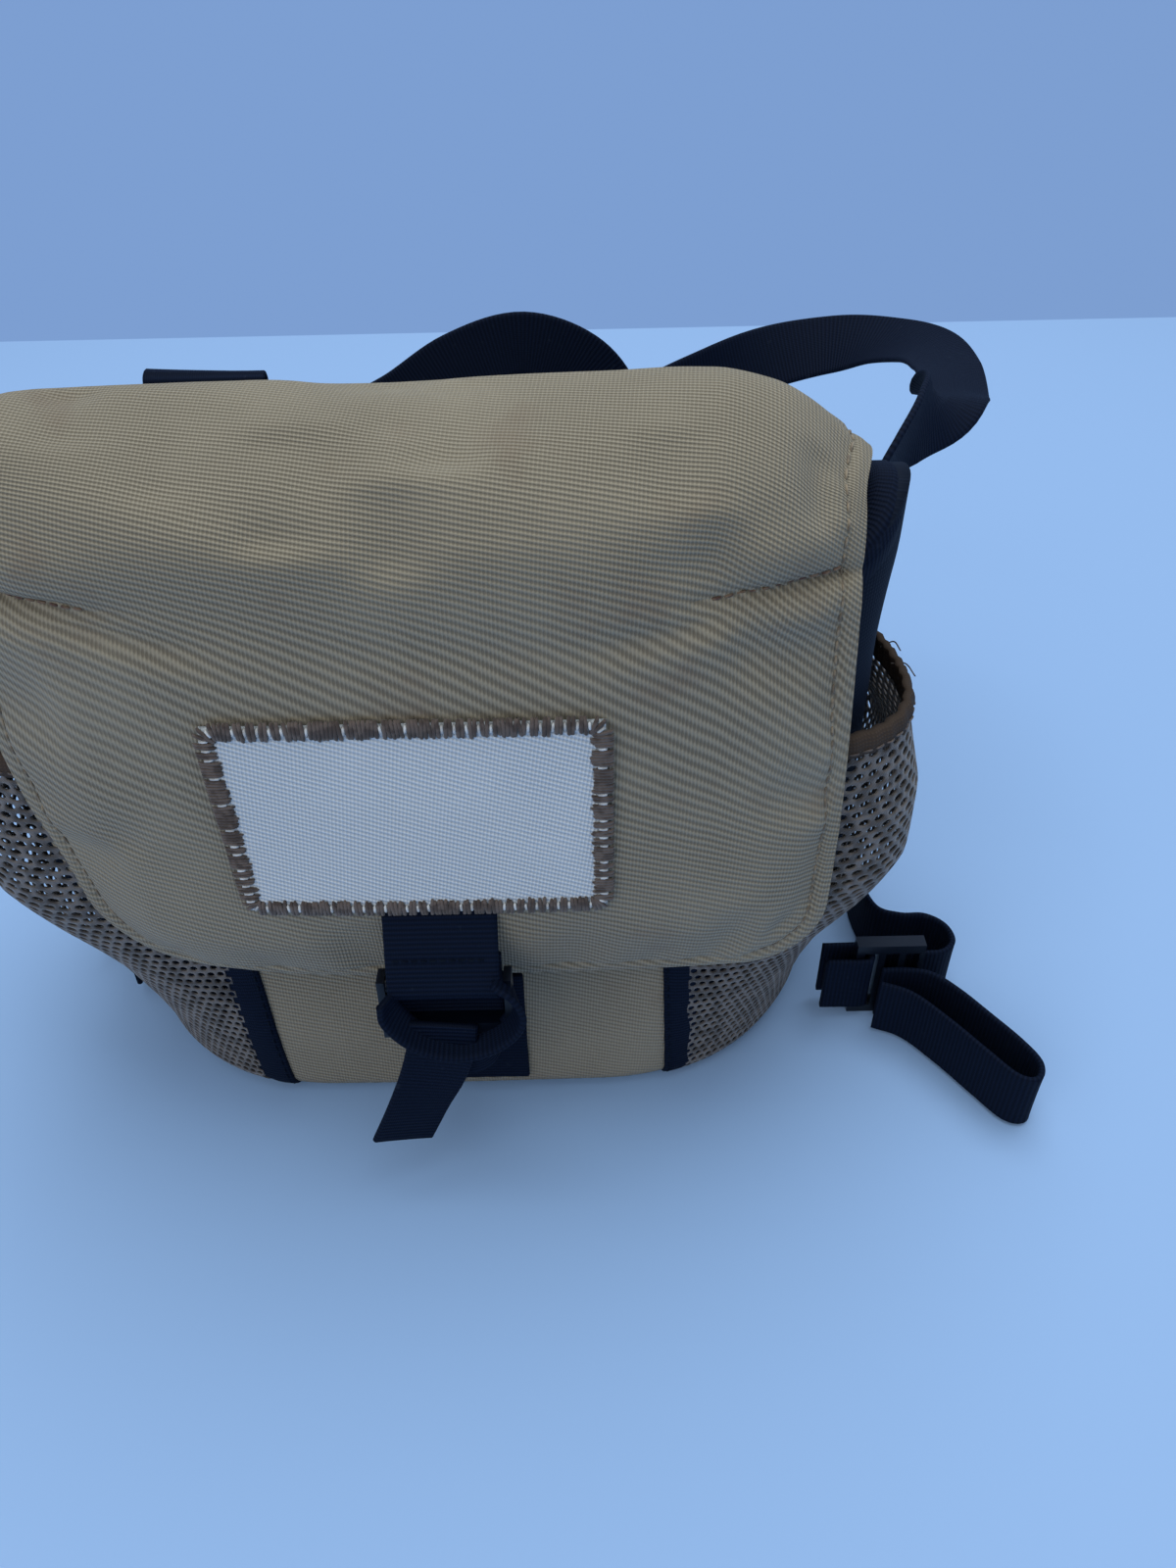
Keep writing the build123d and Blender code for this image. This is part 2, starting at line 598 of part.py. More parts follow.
def all_nodes():
    """Every separate piece of the pack, by name."""
    made = {}
    made.update(base_panel())
    made.update(body_panels())
    made["rim_binding"] = rim_binding()
    made.update(front_strips())
    made.update(pockets())
    made["base_webbing"] = base_webbing()
    made["keeper_loop"] = keeper_loop()
    made["hinge_tape"] = hinge_tape()
    for name, side in SIDES.items():
        made[f"{name}_rear_loop"] = mirrored(rear_loop(), side)
        made[f"{name}_upper_anchor"] = mirrored(upper_anchor(), side)
    made.update(harness())
    made.update(sliders())
    made.update(ladder_locks())
    for layer, name in enumerate(("lid_outer", "lid_foam", "lid_lining")):
        made[name] = lid_layer(layer)
    made["closure_anchor"] = closure_anchor()
    made.update(patch())
    made["closure_strap"] = closure_strap()
    made["closure_hook"] = closure_hook()
    made["pull_tab"] = pull_tab()
    return made


os.makedirs("parts", exist_ok=True)
for node_name, shape in all_nodes().items():
    export_step(shape, f"parts/{node_name}.step")
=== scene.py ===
"""Binocular harness pack: the visible cloth, webbing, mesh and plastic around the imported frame."""
import math

import bmesh
import bpy
from mathutils import Matrix, Vector, noise


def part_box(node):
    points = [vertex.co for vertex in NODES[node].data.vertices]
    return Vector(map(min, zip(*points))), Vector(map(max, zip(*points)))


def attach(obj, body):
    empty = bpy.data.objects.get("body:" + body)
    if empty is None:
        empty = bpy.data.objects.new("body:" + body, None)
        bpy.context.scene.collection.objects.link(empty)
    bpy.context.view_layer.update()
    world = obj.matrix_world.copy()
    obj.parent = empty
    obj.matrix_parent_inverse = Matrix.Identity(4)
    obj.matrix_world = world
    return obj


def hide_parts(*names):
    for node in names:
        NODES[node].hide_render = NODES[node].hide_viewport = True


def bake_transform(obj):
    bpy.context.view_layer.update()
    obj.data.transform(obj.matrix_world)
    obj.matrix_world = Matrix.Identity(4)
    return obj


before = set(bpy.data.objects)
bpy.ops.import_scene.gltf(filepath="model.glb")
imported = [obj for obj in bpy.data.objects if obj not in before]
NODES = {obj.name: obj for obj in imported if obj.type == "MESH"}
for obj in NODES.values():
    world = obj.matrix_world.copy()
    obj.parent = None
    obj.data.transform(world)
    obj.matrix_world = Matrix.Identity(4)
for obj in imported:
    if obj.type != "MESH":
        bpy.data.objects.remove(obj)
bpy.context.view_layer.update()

MM = 0.001

# Sizes that the frame gives, in millimetres


def box_mm(node):
    """A CAD node's lowest and highest corners, in millimetres."""
    low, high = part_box(node)
    return Vector(low) / MM, Vector(high) / MM


LID_LOW, LID_HIGH = box_mm("lid_outer")
BASE_LOW, BASE_HIGH = box_mm("base_outer")
PATCH_LOW, PATCH_HIGH = box_mm("patch_border")
STRIP_LOW, STRIP_HIGH = box_mm("right_front_strip")
ELASTIC_LOW, ELASTIC_HIGH = box_mm("right_pocket_elastic")
HOOK_LOW, HOOK_HIGH = box_mm("closure_hook")
KEEPER_LOW, KEEPER_HIGH = box_mm("keeper_loop")
WEB_LOW, WEB_HIGH = box_mm("base_webbing")
LOOP_LOW, LOOP_HIGH = box_mm("right_rear_loop")
TAB_TOP = box_mm("pull_tab")[1]
ANCHOR_TOP_Z = box_mm("right_upper_anchor")[1].z
LINING_FLOOR = box_mm("base_lining")[1].z

BODY_HALF = BASE_HIGH.x
BODY_FRONT = BASE_LOW.y
BODY_BACK = BASE_HIGH.y
SEAM_X = (STRIP_LOW.x + STRIP_HIGH.x) / 2
BACK_SEAM_X = box_mm("back_outer")[1].x
CLOSURE_X = (HOOK_LOW.x + HOOK_HIGH.x) / 2
SIDES = {"left": -1, "right": 1}

# The webbings' sizes in millimetres, and the camera's place in metres

STRAP_WIDTH = 20.0
WIDE_STRAP = 25.4
WEB_THICK = 1.5
CAMERA_PLACE = Vector((0.034, -0.239, 0.273))


def clamp(value, low=0.0, high=1.0):
    return max(low, min(high, value))


def ease(value):
    """0 below 0, 1 above 1, smooth between."""
    value = clamp(value)
    return value * value * (3 - 2 * value)


def bell(value):
    return math.exp(-value * value)


def mix(a, b, share):
    return a + (b - a) * share


def rumple(x, y, z, size, seed=0.0):
    """A repeatable wrinkle field from -1 to 1, with waves about size millimetres long."""
    return noise.noise(Vector((x / size + seed, y / size - seed, z / size + 2 * seed)))


def curve_through(points, share):
    """A Catmull-Rom point on a list of tuples or vectors, with share from 0 to 1."""
    spans = len(points) - 1
    place = clamp(share) * spans
    index = min(int(place), spans - 1)
    t = place - index
    p1, p2 = Vector(points[index]), Vector(points[index + 1])
    p0 = Vector(points[index - 1]) if index else p1 * 2 - p2
    p3 = Vector(points[index + 2]) if index + 2 <= spans else p2 * 2 - p1
    return 0.5 * (
        2 * p1 + (p2 - p0) * t + (2 * p0 - 5 * p1 + 4 * p2 - p3) * t * t
        + (3 * p1 - p0 - 3 * p2 + p3) * t * t * t
    )


# Meshes


def add_object(name, data):
    made = bpy.data.objects.new(name, data)
    bpy.context.scene.collection.objects.link(made)
    return made


def round_edges(piece, name, width, degrees, harden=False):
    """A bevel on every edge of a piece that turns by more than some degrees."""
    bevel = piece.modifiers.new(name, "BEVEL")
    bevel.width = width * MM
    bevel.segments = 3
    bevel.limit_method = "ANGLE"
    bevel.angle_limit = math.radians(degrees)
    bevel.harden_normals = harden


def face_outwards(mesh):
    """Turn a closed mesh's faces so that they all look out."""
    work = bmesh.new()
    work.from_mesh(mesh)
    bmesh.ops.recalc_face_normals(work, faces=work.faces)
    work.to_mesh(mesh)
    work.free()


def add_piece(name, vertices, faces, uvs, material, body, slot):
    """A mesh in millimetres as a piece that rides on a body; uvs are in millimetres of cloth."""
    mesh = bpy.data.meshes.new(name)
    mesh.from_pydata([Vector(v) * MM for v in vertices], [], faces)
    layer = mesh.uv_layers.new(name="cloth")
    for loop in mesh.loops:
        u, v = uvs[loop.vertex_index]
        layer.data[loop.index].uv = (u, v)
    face_outwards(mesh)
    mesh.polygons.foreach_set("use_smooth", [True] * len(mesh.polygons))
    mesh.materials.append(material)
    piece = add_object(name, mesh)
    if body:
        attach(piece, body)
    return piece


def slab(outer, inner, uv, wrap=False):
    """Closed vertices, faces and uvs between two grids of the same shape."""
    rows, cols = len(outer), len(outer[0])
    count = rows * cols
    vertices = [p for row in outer for p in row] + [p for row in inner for p in row]
    uvs = [p for row in uv for p in row] * 2
    faces = []
    reach = cols if wrap else cols - 1
    for r in range(rows - 1):
        for c in range(reach):
            d = (c + 1) % cols
            quad = (r * cols + c, r * cols + d, (r + 1) * cols + d, (r + 1) * cols + c)
            faces.append(quad)
            faces.append(tuple(count + i for i in reversed(quad)))
    for c in range(reach):
        d = (c + 1) % cols
        last = (rows - 1) * cols
        faces.append((c, count + c, count + d, d))
        faces.append((last + c, last + d, count + last + d, count + last + c))
    if not wrap:
        for r in range(rows - 1):
            a, b = r * cols, (r + 1) * cols
            faces.append((a, b, count + b, count + a))
            a, b = a + cols - 1, b + cols - 1
            faces.append((a, count + a, count + b, b))
    return vertices, faces, uvs


def grid_piece(name, rows, cols, cell, material, body, slot, wrap=False):
    """A closed piece on a grid, where cell(row, col) gives its outer point, inner point and uv."""
    grid = [[cell(row, col) for col in range(cols)] for row in range(rows)]
    outer, inner, uv = ([[cell[part] for cell in row] for row in grid] for part in range(3))
    return add_piece(name, *slab(outer, inner, uv, wrap), material, body, slot)


def tube_faces(rings, sides):
    """Faces of a closed tube of rings, with both ends capped."""
    faces = []
    for r in range(rings - 1):
        for s in range(sides):
            t = (s + 1) % sides
            faces.append((r * sides + s, r * sides + t, (r + 1) * sides + t, (r + 1) * sides + s))
    faces.append(tuple(range(sides)))
    faces.append(tuple((rings - 1) * sides + s for s in range(sides)))
    return faces


def add_tube(tubes, rings):
    """Add a closed tube to vertices, faces and uvs; each ring is a list of (point, uv)."""
    vertices, faces, uvs = tubes
    start = len(vertices)
    for ring in rings:
        vertices += [point for point, _ in ring]
        uvs += [uv for _, uv in ring]
    for face in tube_faces(len(rings), len(rings[0])):
        faces.append(tuple(start + i for i in face))


def turns(count):
    """The cosine and sine of even steps round a circle."""
    angles = [2 * math.pi * k / count for k in range(count)]
    return [(math.cos(angle), math.sin(angle)) for angle in angles]


def webbing_outline(width):
    """A webbing's section: flat faces, a slightly fatter woven edge and rounded sides."""
    half, deep = width / 2, WEB_THICK / 2
    upper = [
        (-half, 0.0), (-half + 0.18, 0.62 * deep), (-half + 0.6, 1.06 * deep),
        (-half + 1.6, deep), (-half * 0.45, 0.9 * deep), (0.0, 0.88 * deep), (half * 0.45, 0.9 * deep),
        (half - 1.6, deep), (half - 0.6, 1.06 * deep), (half - 0.18, 0.62 * deep), (half, 0.0),
    ]
    return upper + [(a, -b) for a, b in reversed(upper[1:-1])]


def webbing(name, stations, width, body, nodes, material, slot="black_webbing", steps=9):
    """A strap that follows stations (point, width direction) as one smooth woven band."""
    points = [Vector(p) for p, _ in stations]
    sides = [Vector(w).normalized() for _, w in stations]
    total = (len(stations) - 1) * steps
    outline = webbing_outline(width)
    tubes, rings, run, before = ([], [], []), [], 0.0, None
    for step in range(total + 1):
        share = step / total
        here = curve_through(points, share)
        ahead = curve_through(points, min(share + 0.4 / total, 1.0))
        behind = curve_through(points, max(share - 0.4 / total, 0.0))
        along = (ahead - behind).normalized()
        side = curve_through(sides, share)
        side = (side - along * side.dot(along)).normalized()
        out = along.cross(side)
        if before is not None:
            run += (here - before).length
        before = here
        rings.append([(here + side * a + out * b, (a, run)) for a, b in outline])
    add_tube(tubes, rings)
    piece = add_piece(name, *tubes, material, body, slot)
    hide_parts(*nodes)
    return piece


# A stitch's rings: how far along it, how thick and how high each one is
STITCH_LEVELS = (
    (0.0, 0.35, -0.5), (0.12, 0.9, 0.1), (0.5, 1.0, 0.45), (0.88, 0.9, 0.1), (1.0, 0.35, -0.5),
)


def stitch_run(name, line, body, material, slot, length=2.4, gap=0.9, radius=0.24):
    """Thread stitches along a line of (point, surface normal), as small bowed capsules."""
    marks = [0.0]
    for (a, _), (b, _) in zip(line, line[1:]):
        marks.append(marks[-1] + (Vector(b) - Vector(a)).length)

    def at(distance):
        index = 0
        while index < len(marks) - 2 and marks[index + 1] < distance:
            index += 1
        t = (distance - marks[index]) / max(marks[index + 1] - marks[index], 1e-6)
        here = Vector(line[index][0]).lerp(Vector(line[index + 1][0]), t)
        return here, Vector(line[index][1]).lerp(Vector(line[index + 1][1]), t).normalized()

    tubes, place = ([], [], []), gap
    while place + length < marks[-1]:
        rings = []
        for share, girth, lift in STITCH_LEVELS:
            here, normal = at(place + share * length)
            ahead, _ = at(place + share * length + 0.2)
            side = (ahead - here).normalized().cross(normal)
            middle = here + normal * lift * radius
            ring = []
            for k, (c, s) in enumerate(turns(6)):
                offset = side * c * 1.25 + normal * s
                ring.append((middle + offset * radius * girth, (place, k)))
            rings.append(ring)
        add_tube(tubes, rings)
        place += length + gap
    return add_piece(name, *tubes, material, body, slot)


# Filling: the cloth simulation that swells the lid

SIM_FRAMES = 20
SIM_PRESSURE = 4.0
SIM_STEP = 5
SIM_LIMIT = 1.5


def spread(coarse, rows, cols, height, width):
    """A coarse grid of vectors, taken at rows and cols, spread smoothly over a fine grid."""
    across = [[curve_through(row, place_in(cols, c)) for c in range(width)] for row in coarse]
    columns = [list(column) for column in zip(*across)]
    return [[curve_through(columns[c], place_in(rows, r)) for c in range(width)] for r in range(height)]


def place_in(marks, index):
    """Where an index lies among marks, as a share from 0 to 1."""
    for k in range(len(marks) - 1):
        if index <= marks[k + 1]:
            return (k + (index - marks[k]) / (marks[k + 1] - marks[k])) / (len(marks) - 1)
    return 1.0


def swell(outer, inner, held, step, limit):
    """Fill a pad: its outer cloth is simulated under pressure between the places that are held.

    The simulation works on every step-th row and column. The outer grid is moved in place, by no
    more than limit millimetres, and the inner cloth stays.
    """
    height, width = len(outer), len(outer[0])
    rows = sorted({*range(0, height, step), height - 1})
    cols = sorted({*range(0, width, step), width - 1})
    coarse_outer = [[outer[r][c] for c in cols] for r in rows]
    coarse_inner = [[inner[r][c] for c in cols] for r in rows]
    vertices, faces, _ = slab(coarse_outer, coarse_inner, [[(0, 0) for _ in cols] for _ in rows])
    mesh = bpy.data.meshes.new("pad")
    mesh.from_pydata([Vector(v) * MM for v in vertices], [], faces)
    face_outwards(mesh)
    pad = add_object("pad", mesh)
    sewn = pad.vertex_groups.new(name="sewn")
    count = len(rows) * len(cols)
    pinned = [i for i in range(count) if held(rows[i // len(cols)], cols[i % len(cols)])]
    sewn.add(pinned + list(range(count, 2 * count)), 1.0, "REPLACE")
    cloth = pad.modifiers.new("cloth", "CLOTH")
    settings = cloth.settings
    settings.quality = 6
    settings.mass = 0.15
    settings.tension_stiffness = 18.0
    settings.compression_stiffness = 12.0
    settings.shear_stiffness = 6.0
    settings.bending_stiffness = 1.5
    settings.vertex_group_mass = "sewn"
    settings.use_pressure = True
    settings.uniform_pressure_force = SIM_PRESSURE
    settings.shrink_min = -0.010
    settings.effector_weights.gravity = 0.0
    cloth.collision_settings.use_collision = False
    cloth.point_cache.frame_start = 1
    cloth.point_cache.frame_end = SIM_FRAMES
    scene = bpy.context.scene
    for frame_number in range(1, SIM_FRAMES + 1):
        scene.frame_set(frame_number)
    settled = pad.evaluated_get(bpy.context.evaluated_depsgraph_get()).to_mesh()
    moves = []
    for index in range(count):
        move = settled.vertices[index].co / MM - Vector(vertices[index])
        if move.length > limit:
            move = move * (limit / move.length)
        moves.append(move)
    scene.frame_set(1)
    bpy.data.objects.remove(pad)
    bpy.data.meshes.remove(mesh)
    coarse = [moves[k * len(cols):(k + 1) * len(cols)] for k in range(len(rows))]
    for row, shifts in zip(outer, spread(coarse, rows, cols, height, width)):
        for c, shift in enumerate(shifts):
            row[c] = row[c] + shift


# Materials


class Shader:
    """A material's node tree, with short calls to add and join nodes."""

    def __init__(self, name, rough, specular=0.3, sheen=0.0):
        self.material = bpy.data.materials.new(name)
        self.material.use_nodes = True
        self.tree = self.material.node_tree
        self.surface = self.tree.nodes["Principled BSDF"]
        self.surface.inputs["Roughness"].default_value = rough
        self.surface.inputs["Specular IOR Level"].default_value = specular
        self.surface.inputs["Sheen Weight"].default_value = sheen
        self.surface.inputs["Sheen Roughness"].default_value = 0.5

    def node(self, kind, settings=None, **inputs):
        """A node with settings, whose inputs are constants or the outputs of other nodes."""
        made = self.tree.nodes.new(kind)
        for key, value in (settings or {}).items():
            setattr(made, key, value)
        for key, value in inputs.items():
            socket = made.inputs[int(key[1:])] if key[0] == "i" and key[1:].isdigit() else made.inputs[key]
            if isinstance(value, bpy.types.NodeSocket):
                self.tree.links.new(value, socket)
            else:
                socket.default_value = value
        return made

    def math(self, operation, a, b=0.0):
        return self.node("ShaderNodeMath", {"operation": operation}, i0=a, i1=b).outputs[0]

    def blend(self, share, a, b):
        """A colour mix of two colours or sockets by a share."""
        made = self.node("ShaderNodeMix", {"data_type": "RGBA"})
        for index, value in ((0, share), (6, a), (7, b)):
            if isinstance(value, bpy.types.NodeSocket):
                self.tree.links.new(value, made.inputs[index])
            elif index:
                made.inputs[index].default_value = (*value, 1.0)
            else:
                made.inputs[index].default_value = value
        return made.outputs[2]

    def cloth_place(self):
        return self.node("ShaderNodeUVMap", {"uv_map": "cloth"}).outputs[0]

    def object_place(self):
        return self.node("ShaderNodeTexCoord").outputs["Object"]

    def ribs(self, place, pitch, angle, wobble=0.0):
        """Parallel ribs of a pitch in millimetres, turned by an angle in degrees, from 0 to 1."""
        turned = self.node(
            "ShaderNodeMapping", Vector=place, Rotation=(0, 0, math.radians(angle))
        ).outputs[0]
        return self.node(
            "ShaderNodeTexWave", {"wave_type": "BANDS", "bands_direction": "X"},
            Vector=turned, Scale=2 * math.pi / (20 * pitch), Distortion=wobble,
            **{"Detail": 1.0, "Detail Scale": 0.6},
        ).outputs["Fac"]

    def speckle(self, place, scale, detail=3.0):
        made = self.node("ShaderNodeTexNoise", Vector=place, Scale=scale, Detail=detail)
        return made.outputs["Fac"]

    def ramp(self, value, low, high):
        """0 below low, 1 above high."""
        made = self.node("ShaderNodeMapRange", Value=value)
        made.inputs["From Min"].default_value = low
        made.inputs["From Max"].default_value = high
        return made.outputs[0]

    def edge_wear(self, share):
        """Where edges stand out, from 0 to the given share."""
        point = self.node("ShaderNodeNewGeometry").outputs["Pointiness"]
        return self.math("MULTIPLY", self.ramp(point, 0.52, 0.60), share)

    def finish(self, colour, height=None, depth=0.0003, strength=0.5):
        self.tree.links.new(colour, self.surface.inputs["Base Color"])
        if height is not None:
            bump = self.node("ShaderNodeBump", Height=height, Distance=depth, Strength=strength)
            self.tree.links.new(bump.outputs[0], self.surface.inputs["Normal"])
        return self.material


def twill(name, light, dark, rib=1.35, angle=-73.0, fine=0.75, soil=None, sheen=0.10):
    """Coarse twill: diagonal ribs broken into short floats, with a faint soil and fading."""
    made = Shader(name, 0.82, 0.25, sheen)
    place = made.cloth_place()
    ribs = made.ribs(place, rib, angle, 0.6)
    floats = made.ribs(place, fine, angle + 76.0, 0.4)
    cross = made.math("MULTIPLY", floats, 0.38)
    weave = made.math("ADD", made.math("MULTIPLY", ribs, 0.62), cross)
    colour = made.blend(made.ramp(weave, 0.22, 0.78), dark, light)
    patchy = made.speckle(made.object_place(), 26.0)
    worn = tuple(min(c * 1.16, 1.0) for c in light)
    share = made.math("MULTIPLY", made.ramp(patchy, 0.45, 0.75), 0.35)
    colour = made.blend(share, colour, worn)
    if soil:
        dirt = made.speckle(made.object_place(), 60.0, 6.0)
        colour = made.blend(made.math("MULTIPLY", made.ramp(dirt, 0.60, 0.78), 0.35), colour, soil)
    return made.finish(colour, weave, 0.00040, 0.9)


def black_webbing(name, base, pitch=1.15, angle=90.0, strength=0.7):
    """Ribbed webbing: fine ribs across the band, finer lines along it and lint."""
    made = Shader(name, 0.75, 0.10)
    place = made.cloth_place()
    ribs = made.ribs(place, pitch, angle, 0.15)
    grain = made.ribs(place, 0.55, 0.0, 0.3)
    weave = made.math("ADD", made.math("MULTIPLY", ribs, 0.7), made.math("MULTIPLY", grain, 0.3))
    light = tuple(c * 1.9 + 0.0012 for c in base)
    colour = made.blend(made.ramp(weave, 0.25, 0.95), base, light)
    lint = made.speckle(made.object_place(), 420.0, 2.0)
    share = made.math("MULTIPLY", made.ramp(lint, 0.68, 0.82), 0.12)
    colour = made.blend(share, colour, (0.06, 0.08, 0.11))
    return made.finish(colour, weave, 0.0003, strength)


def plain_cloth(name, base, pitch=0.9, strength=0.4):
    """Plain-woven pack cloth: a small even check of threads."""
    made = Shader(name, 0.80, 0.14)
    place = made.cloth_place()
    threads = made.math("MULTIPLY", made.ribs(place, pitch, 0.0, 0.2), made.ribs(place, pitch, 90.0, 0.2))
    patchy = made.speckle(made.object_place(), 35.0)
    light = tuple(c * 1.8 + 0.001 for c in base)
    share = made.math("ADD", made.math("MULTIPLY", threads, 0.5), made.math("MULTIPLY", patchy, 0.4))
    return made.finish(made.blend(share, base, light), threads, 0.00025, strength)


def moulded_plastic(name, base, rough):
    """Moulded acetal: a fine grain, a satin gloss and edges rubbed paler."""
    made = Shader(name, rough, 0.3)
    grain = made.speckle(made.object_place(), 1900.0, 2.0)
    scuffs = made.speckle(made.object_place(), 150.0, 5.0)
    pale = tuple(c * 3 + 0.008 for c in base)
    colour = made.blend(made.edge_wear(0.4), base, pale)
    colour = made.blend(made.math("MULTIPLY", made.ramp(scuffs, 0.62, 0.75), 0.3), colour, pale)
    return made.finish(colour, grain, 0.00008, 0.25)


def grained_leather(name, base):
    """Black grained leather for the harness yoke."""
    made = Shader(name, 0.55, 0.4)
    cells = made.node("ShaderNodeTexVoronoi", Vector=made.object_place(), Scale=900.0).outputs["Distance"]
    crease = made.speckle(made.object_place(), 90.0, 5.0)
    height = made.math("ADD", cells, made.math("MULTIPLY", crease, 0.6))
    light = tuple(c * 2 + 0.004 for c in base)
    return made.finish(made.blend(made.ramp(cells, 0.1, 0.7), base, light), height, 0.0003, 0.5)


def thread(name, first, second, scale=700.0, rough=0.6, shine=0.3, sheen=0.2):
    """Sewing thread: a twisted strand whose colour shifts between two tones."""
    made = Shader(name, rough, shine, sheen)
    tone = made.ramp(made.speckle(made.object_place(), scale, 1.0), 0.42, 0.58)
    twist = made.ribs(made.cloth_place(), 0.5, 35.0, 0.0)
    return made.finish(made.blend(tone, first, second), twist, 0.0001, 0.4)


TAN = twill("tan_twill", (0.286, 0.254, 0.194), (0.145, 0.124, 0.090), soil=(0.15, 0.10, 0.07))
WHITE = twill("white_twill", (0.66, 0.70, 0.74), (0.42, 0.46, 0.50), rib=1.15, angle=-68.0, sheen=0.05)
NET_BROWN = thread("brown_net", (0.052, 0.044, 0.040), (0.120, 0.106, 0.100), 260.0)
NET_CLOTH = plain_cloth("brown_binding", (0.040, 0.028, 0.021), 0.8, 0.5)
BLACK_CLOTH = plain_cloth("black_cloth", (0.0020, 0.0050, 0.0125))
LINING = plain_cloth("lining", (0.016, 0.018, 0.021), 0.6, 0.25)
WEBBING = black_webbing("black_webbing", (0.0009, 0.0034, 0.0115))
WIDE_WEBBING = black_webbing("wide_webbing", (0.0009, 0.0034, 0.0115), 1.9, 90.0, 1.0)
ELASTIC = black_webbing("elastic", (0.0012, 0.0040, 0.0130), 0.8, 0.0, 0.8)
PLASTIC = moulded_plastic("black_plastic", (0.0010, 0.0026, 0.0070), 0.30)
LEATHER = grained_leather("yoke_leather", (0.010, 0.011, 0.014))
TAN_THREAD = thread("tan_thread", (0.24, 0.19, 0.13), (0.13, 0.10, 0.068))
DART_THREAD = thread("dart_thread", (0.085, 0.040, 0.026), (0.17, 0.11, 0.07))
BLACK_THREAD = thread("black_thread", (0.0015, 0.0040, 0.0110), (0.004, 0.008, 0.017), rough=0.8,
                      shine=0.08, sheen=0.0)
BORDER_BROWN = thread("border_thread", (0.060, 0.040, 0.030), (0.115, 0.085, 0.070), 500.0)
BORDER_WHITE = thread("border_fleck", (0.42, 0.42, 0.42), (0.62, 0.64, 0.66), 500.0)

# The lid: a padded quilt from the hinge, over the ridge and down the front

LID_HALF = LID_HIGH.x
LID_TOP = LID_HIGH.z + 0.2
LID_ROWS = 192
LID_COLS = 120
LID_LENGTH = 236.0
HEM_THICK = 3.0
PAD_THICK = 7.6
HINGE_PAD = 5.0
HEM_INSET = 4.0
HEM_FADE = 19.0
DART_Z = 163.5
DART_LENGTH = 33.0
CREASE_DROP = 8.0
# Where the ridge starts to fall to each side, over what width, how far, how far the side
# hem curls back from the front, and the lower corner's radius
LID_SIDES = {1: (60.0, 30.0, 11.5, 4.5, 21.0), -1: (70.0, 20.0, -1.5, 7.5, 26.0)}
LID_TILT = 0.016
LEFT_LEAN = 8.0


def lid_side(x):
    return LID_SIDES[1 if x >= 0 else -1]


def lid_outline(x):
    """Profile points of the lid at a place across it, from the hinge to the lower hem."""
    start, span, fall, curl, _ = lid_side(x)
    outer = abs(x) / LID_HALF
    ridge = LID_TOP + LID_TILT * x - fall * (max(abs(x) - start, 0.0) / span) ** 1.5
    front = LID_LOW.y + curl * outer ** 3
    back_z = 163.0 - 3.4 * outer ** 2
    rise = ridge - back_z
    hinge_y, low_z = LID_HIGH.y, LID_LOW.z
    tuck = 2.5 * (1 - outer ** 3)
    return [
        (hinge_y, back_z),
        (hinge_y - 19.0, back_z + rise * 0.23),
        (hinge_y - 41.0, back_z + rise * 0.48),
        (-16.0, back_z + rise * 0.77),
        (-30.0, ridge),
        (-42.5, ridge - 4.0),
        (front + 4.5, ridge - 14.0),
        (front, ridge - 34.0),
        (front, (ridge + low_z) / 2 - 12.0),
        (front + 0.2 * tuck, low_z + 28.0),
        (front + tuck, low_z + 0.4),
    ]


def lid_half_width(x, y, z):
    """Half the lid's width: the front is pulled in at its bend, and the left hem leans in lower down."""
    front = ease((-y - 30.0) / 15.0)
    pulled = 2.6 * front * ease((z - 95.0) / 70.0)
    leaned = LEFT_LEAN * front * ease((135.0 - z) / 75.0) if x < 0 else 0.0
    return LID_HALF - 1.5 - pulled - leaned


def hem_distance(x, z, half):
    """How far a place on the lid's front is from its nearest hem."""
    radius = lid_side(x)[4]
    side, up = half - abs(x), z - LID_LOW.z
    if side < radius and up < radius:
        return radius - math.hypot(radius - side, radius - up)
    return min(side, up)


def lid_frame(u, v):
    """The unpadded lid at u across and v down: point, outward normal and distance to the hem."""
    outline = lid_outline(u * LID_HALF)
    y, z = curve_through(outline, v)
    ahead = curve_through(outline, min(v + 0.004, 1.0))
    behind = curve_through(outline, max(v - 0.004, 0.0))
    along = (ahead - behind).normalized()
    half = lid_half_width(u, y, z)
    radius = lid_side(u)[4]
    reach = half
    if v > 0.5 and z - LID_LOW.z < radius:
        drop = radius - max(z - LID_LOW.z, 0.0)
        reach = half - radius + math.sqrt(max(radius ** 2 - drop ** 2, 0.0))
    x = u * reach
    near = hem_distance(x, z, half) if v > 0.5 else half - abs(x)
    return Vector((x, y, z)), Vector((0.0, along.y, -along.x)), max(near, 0.0)


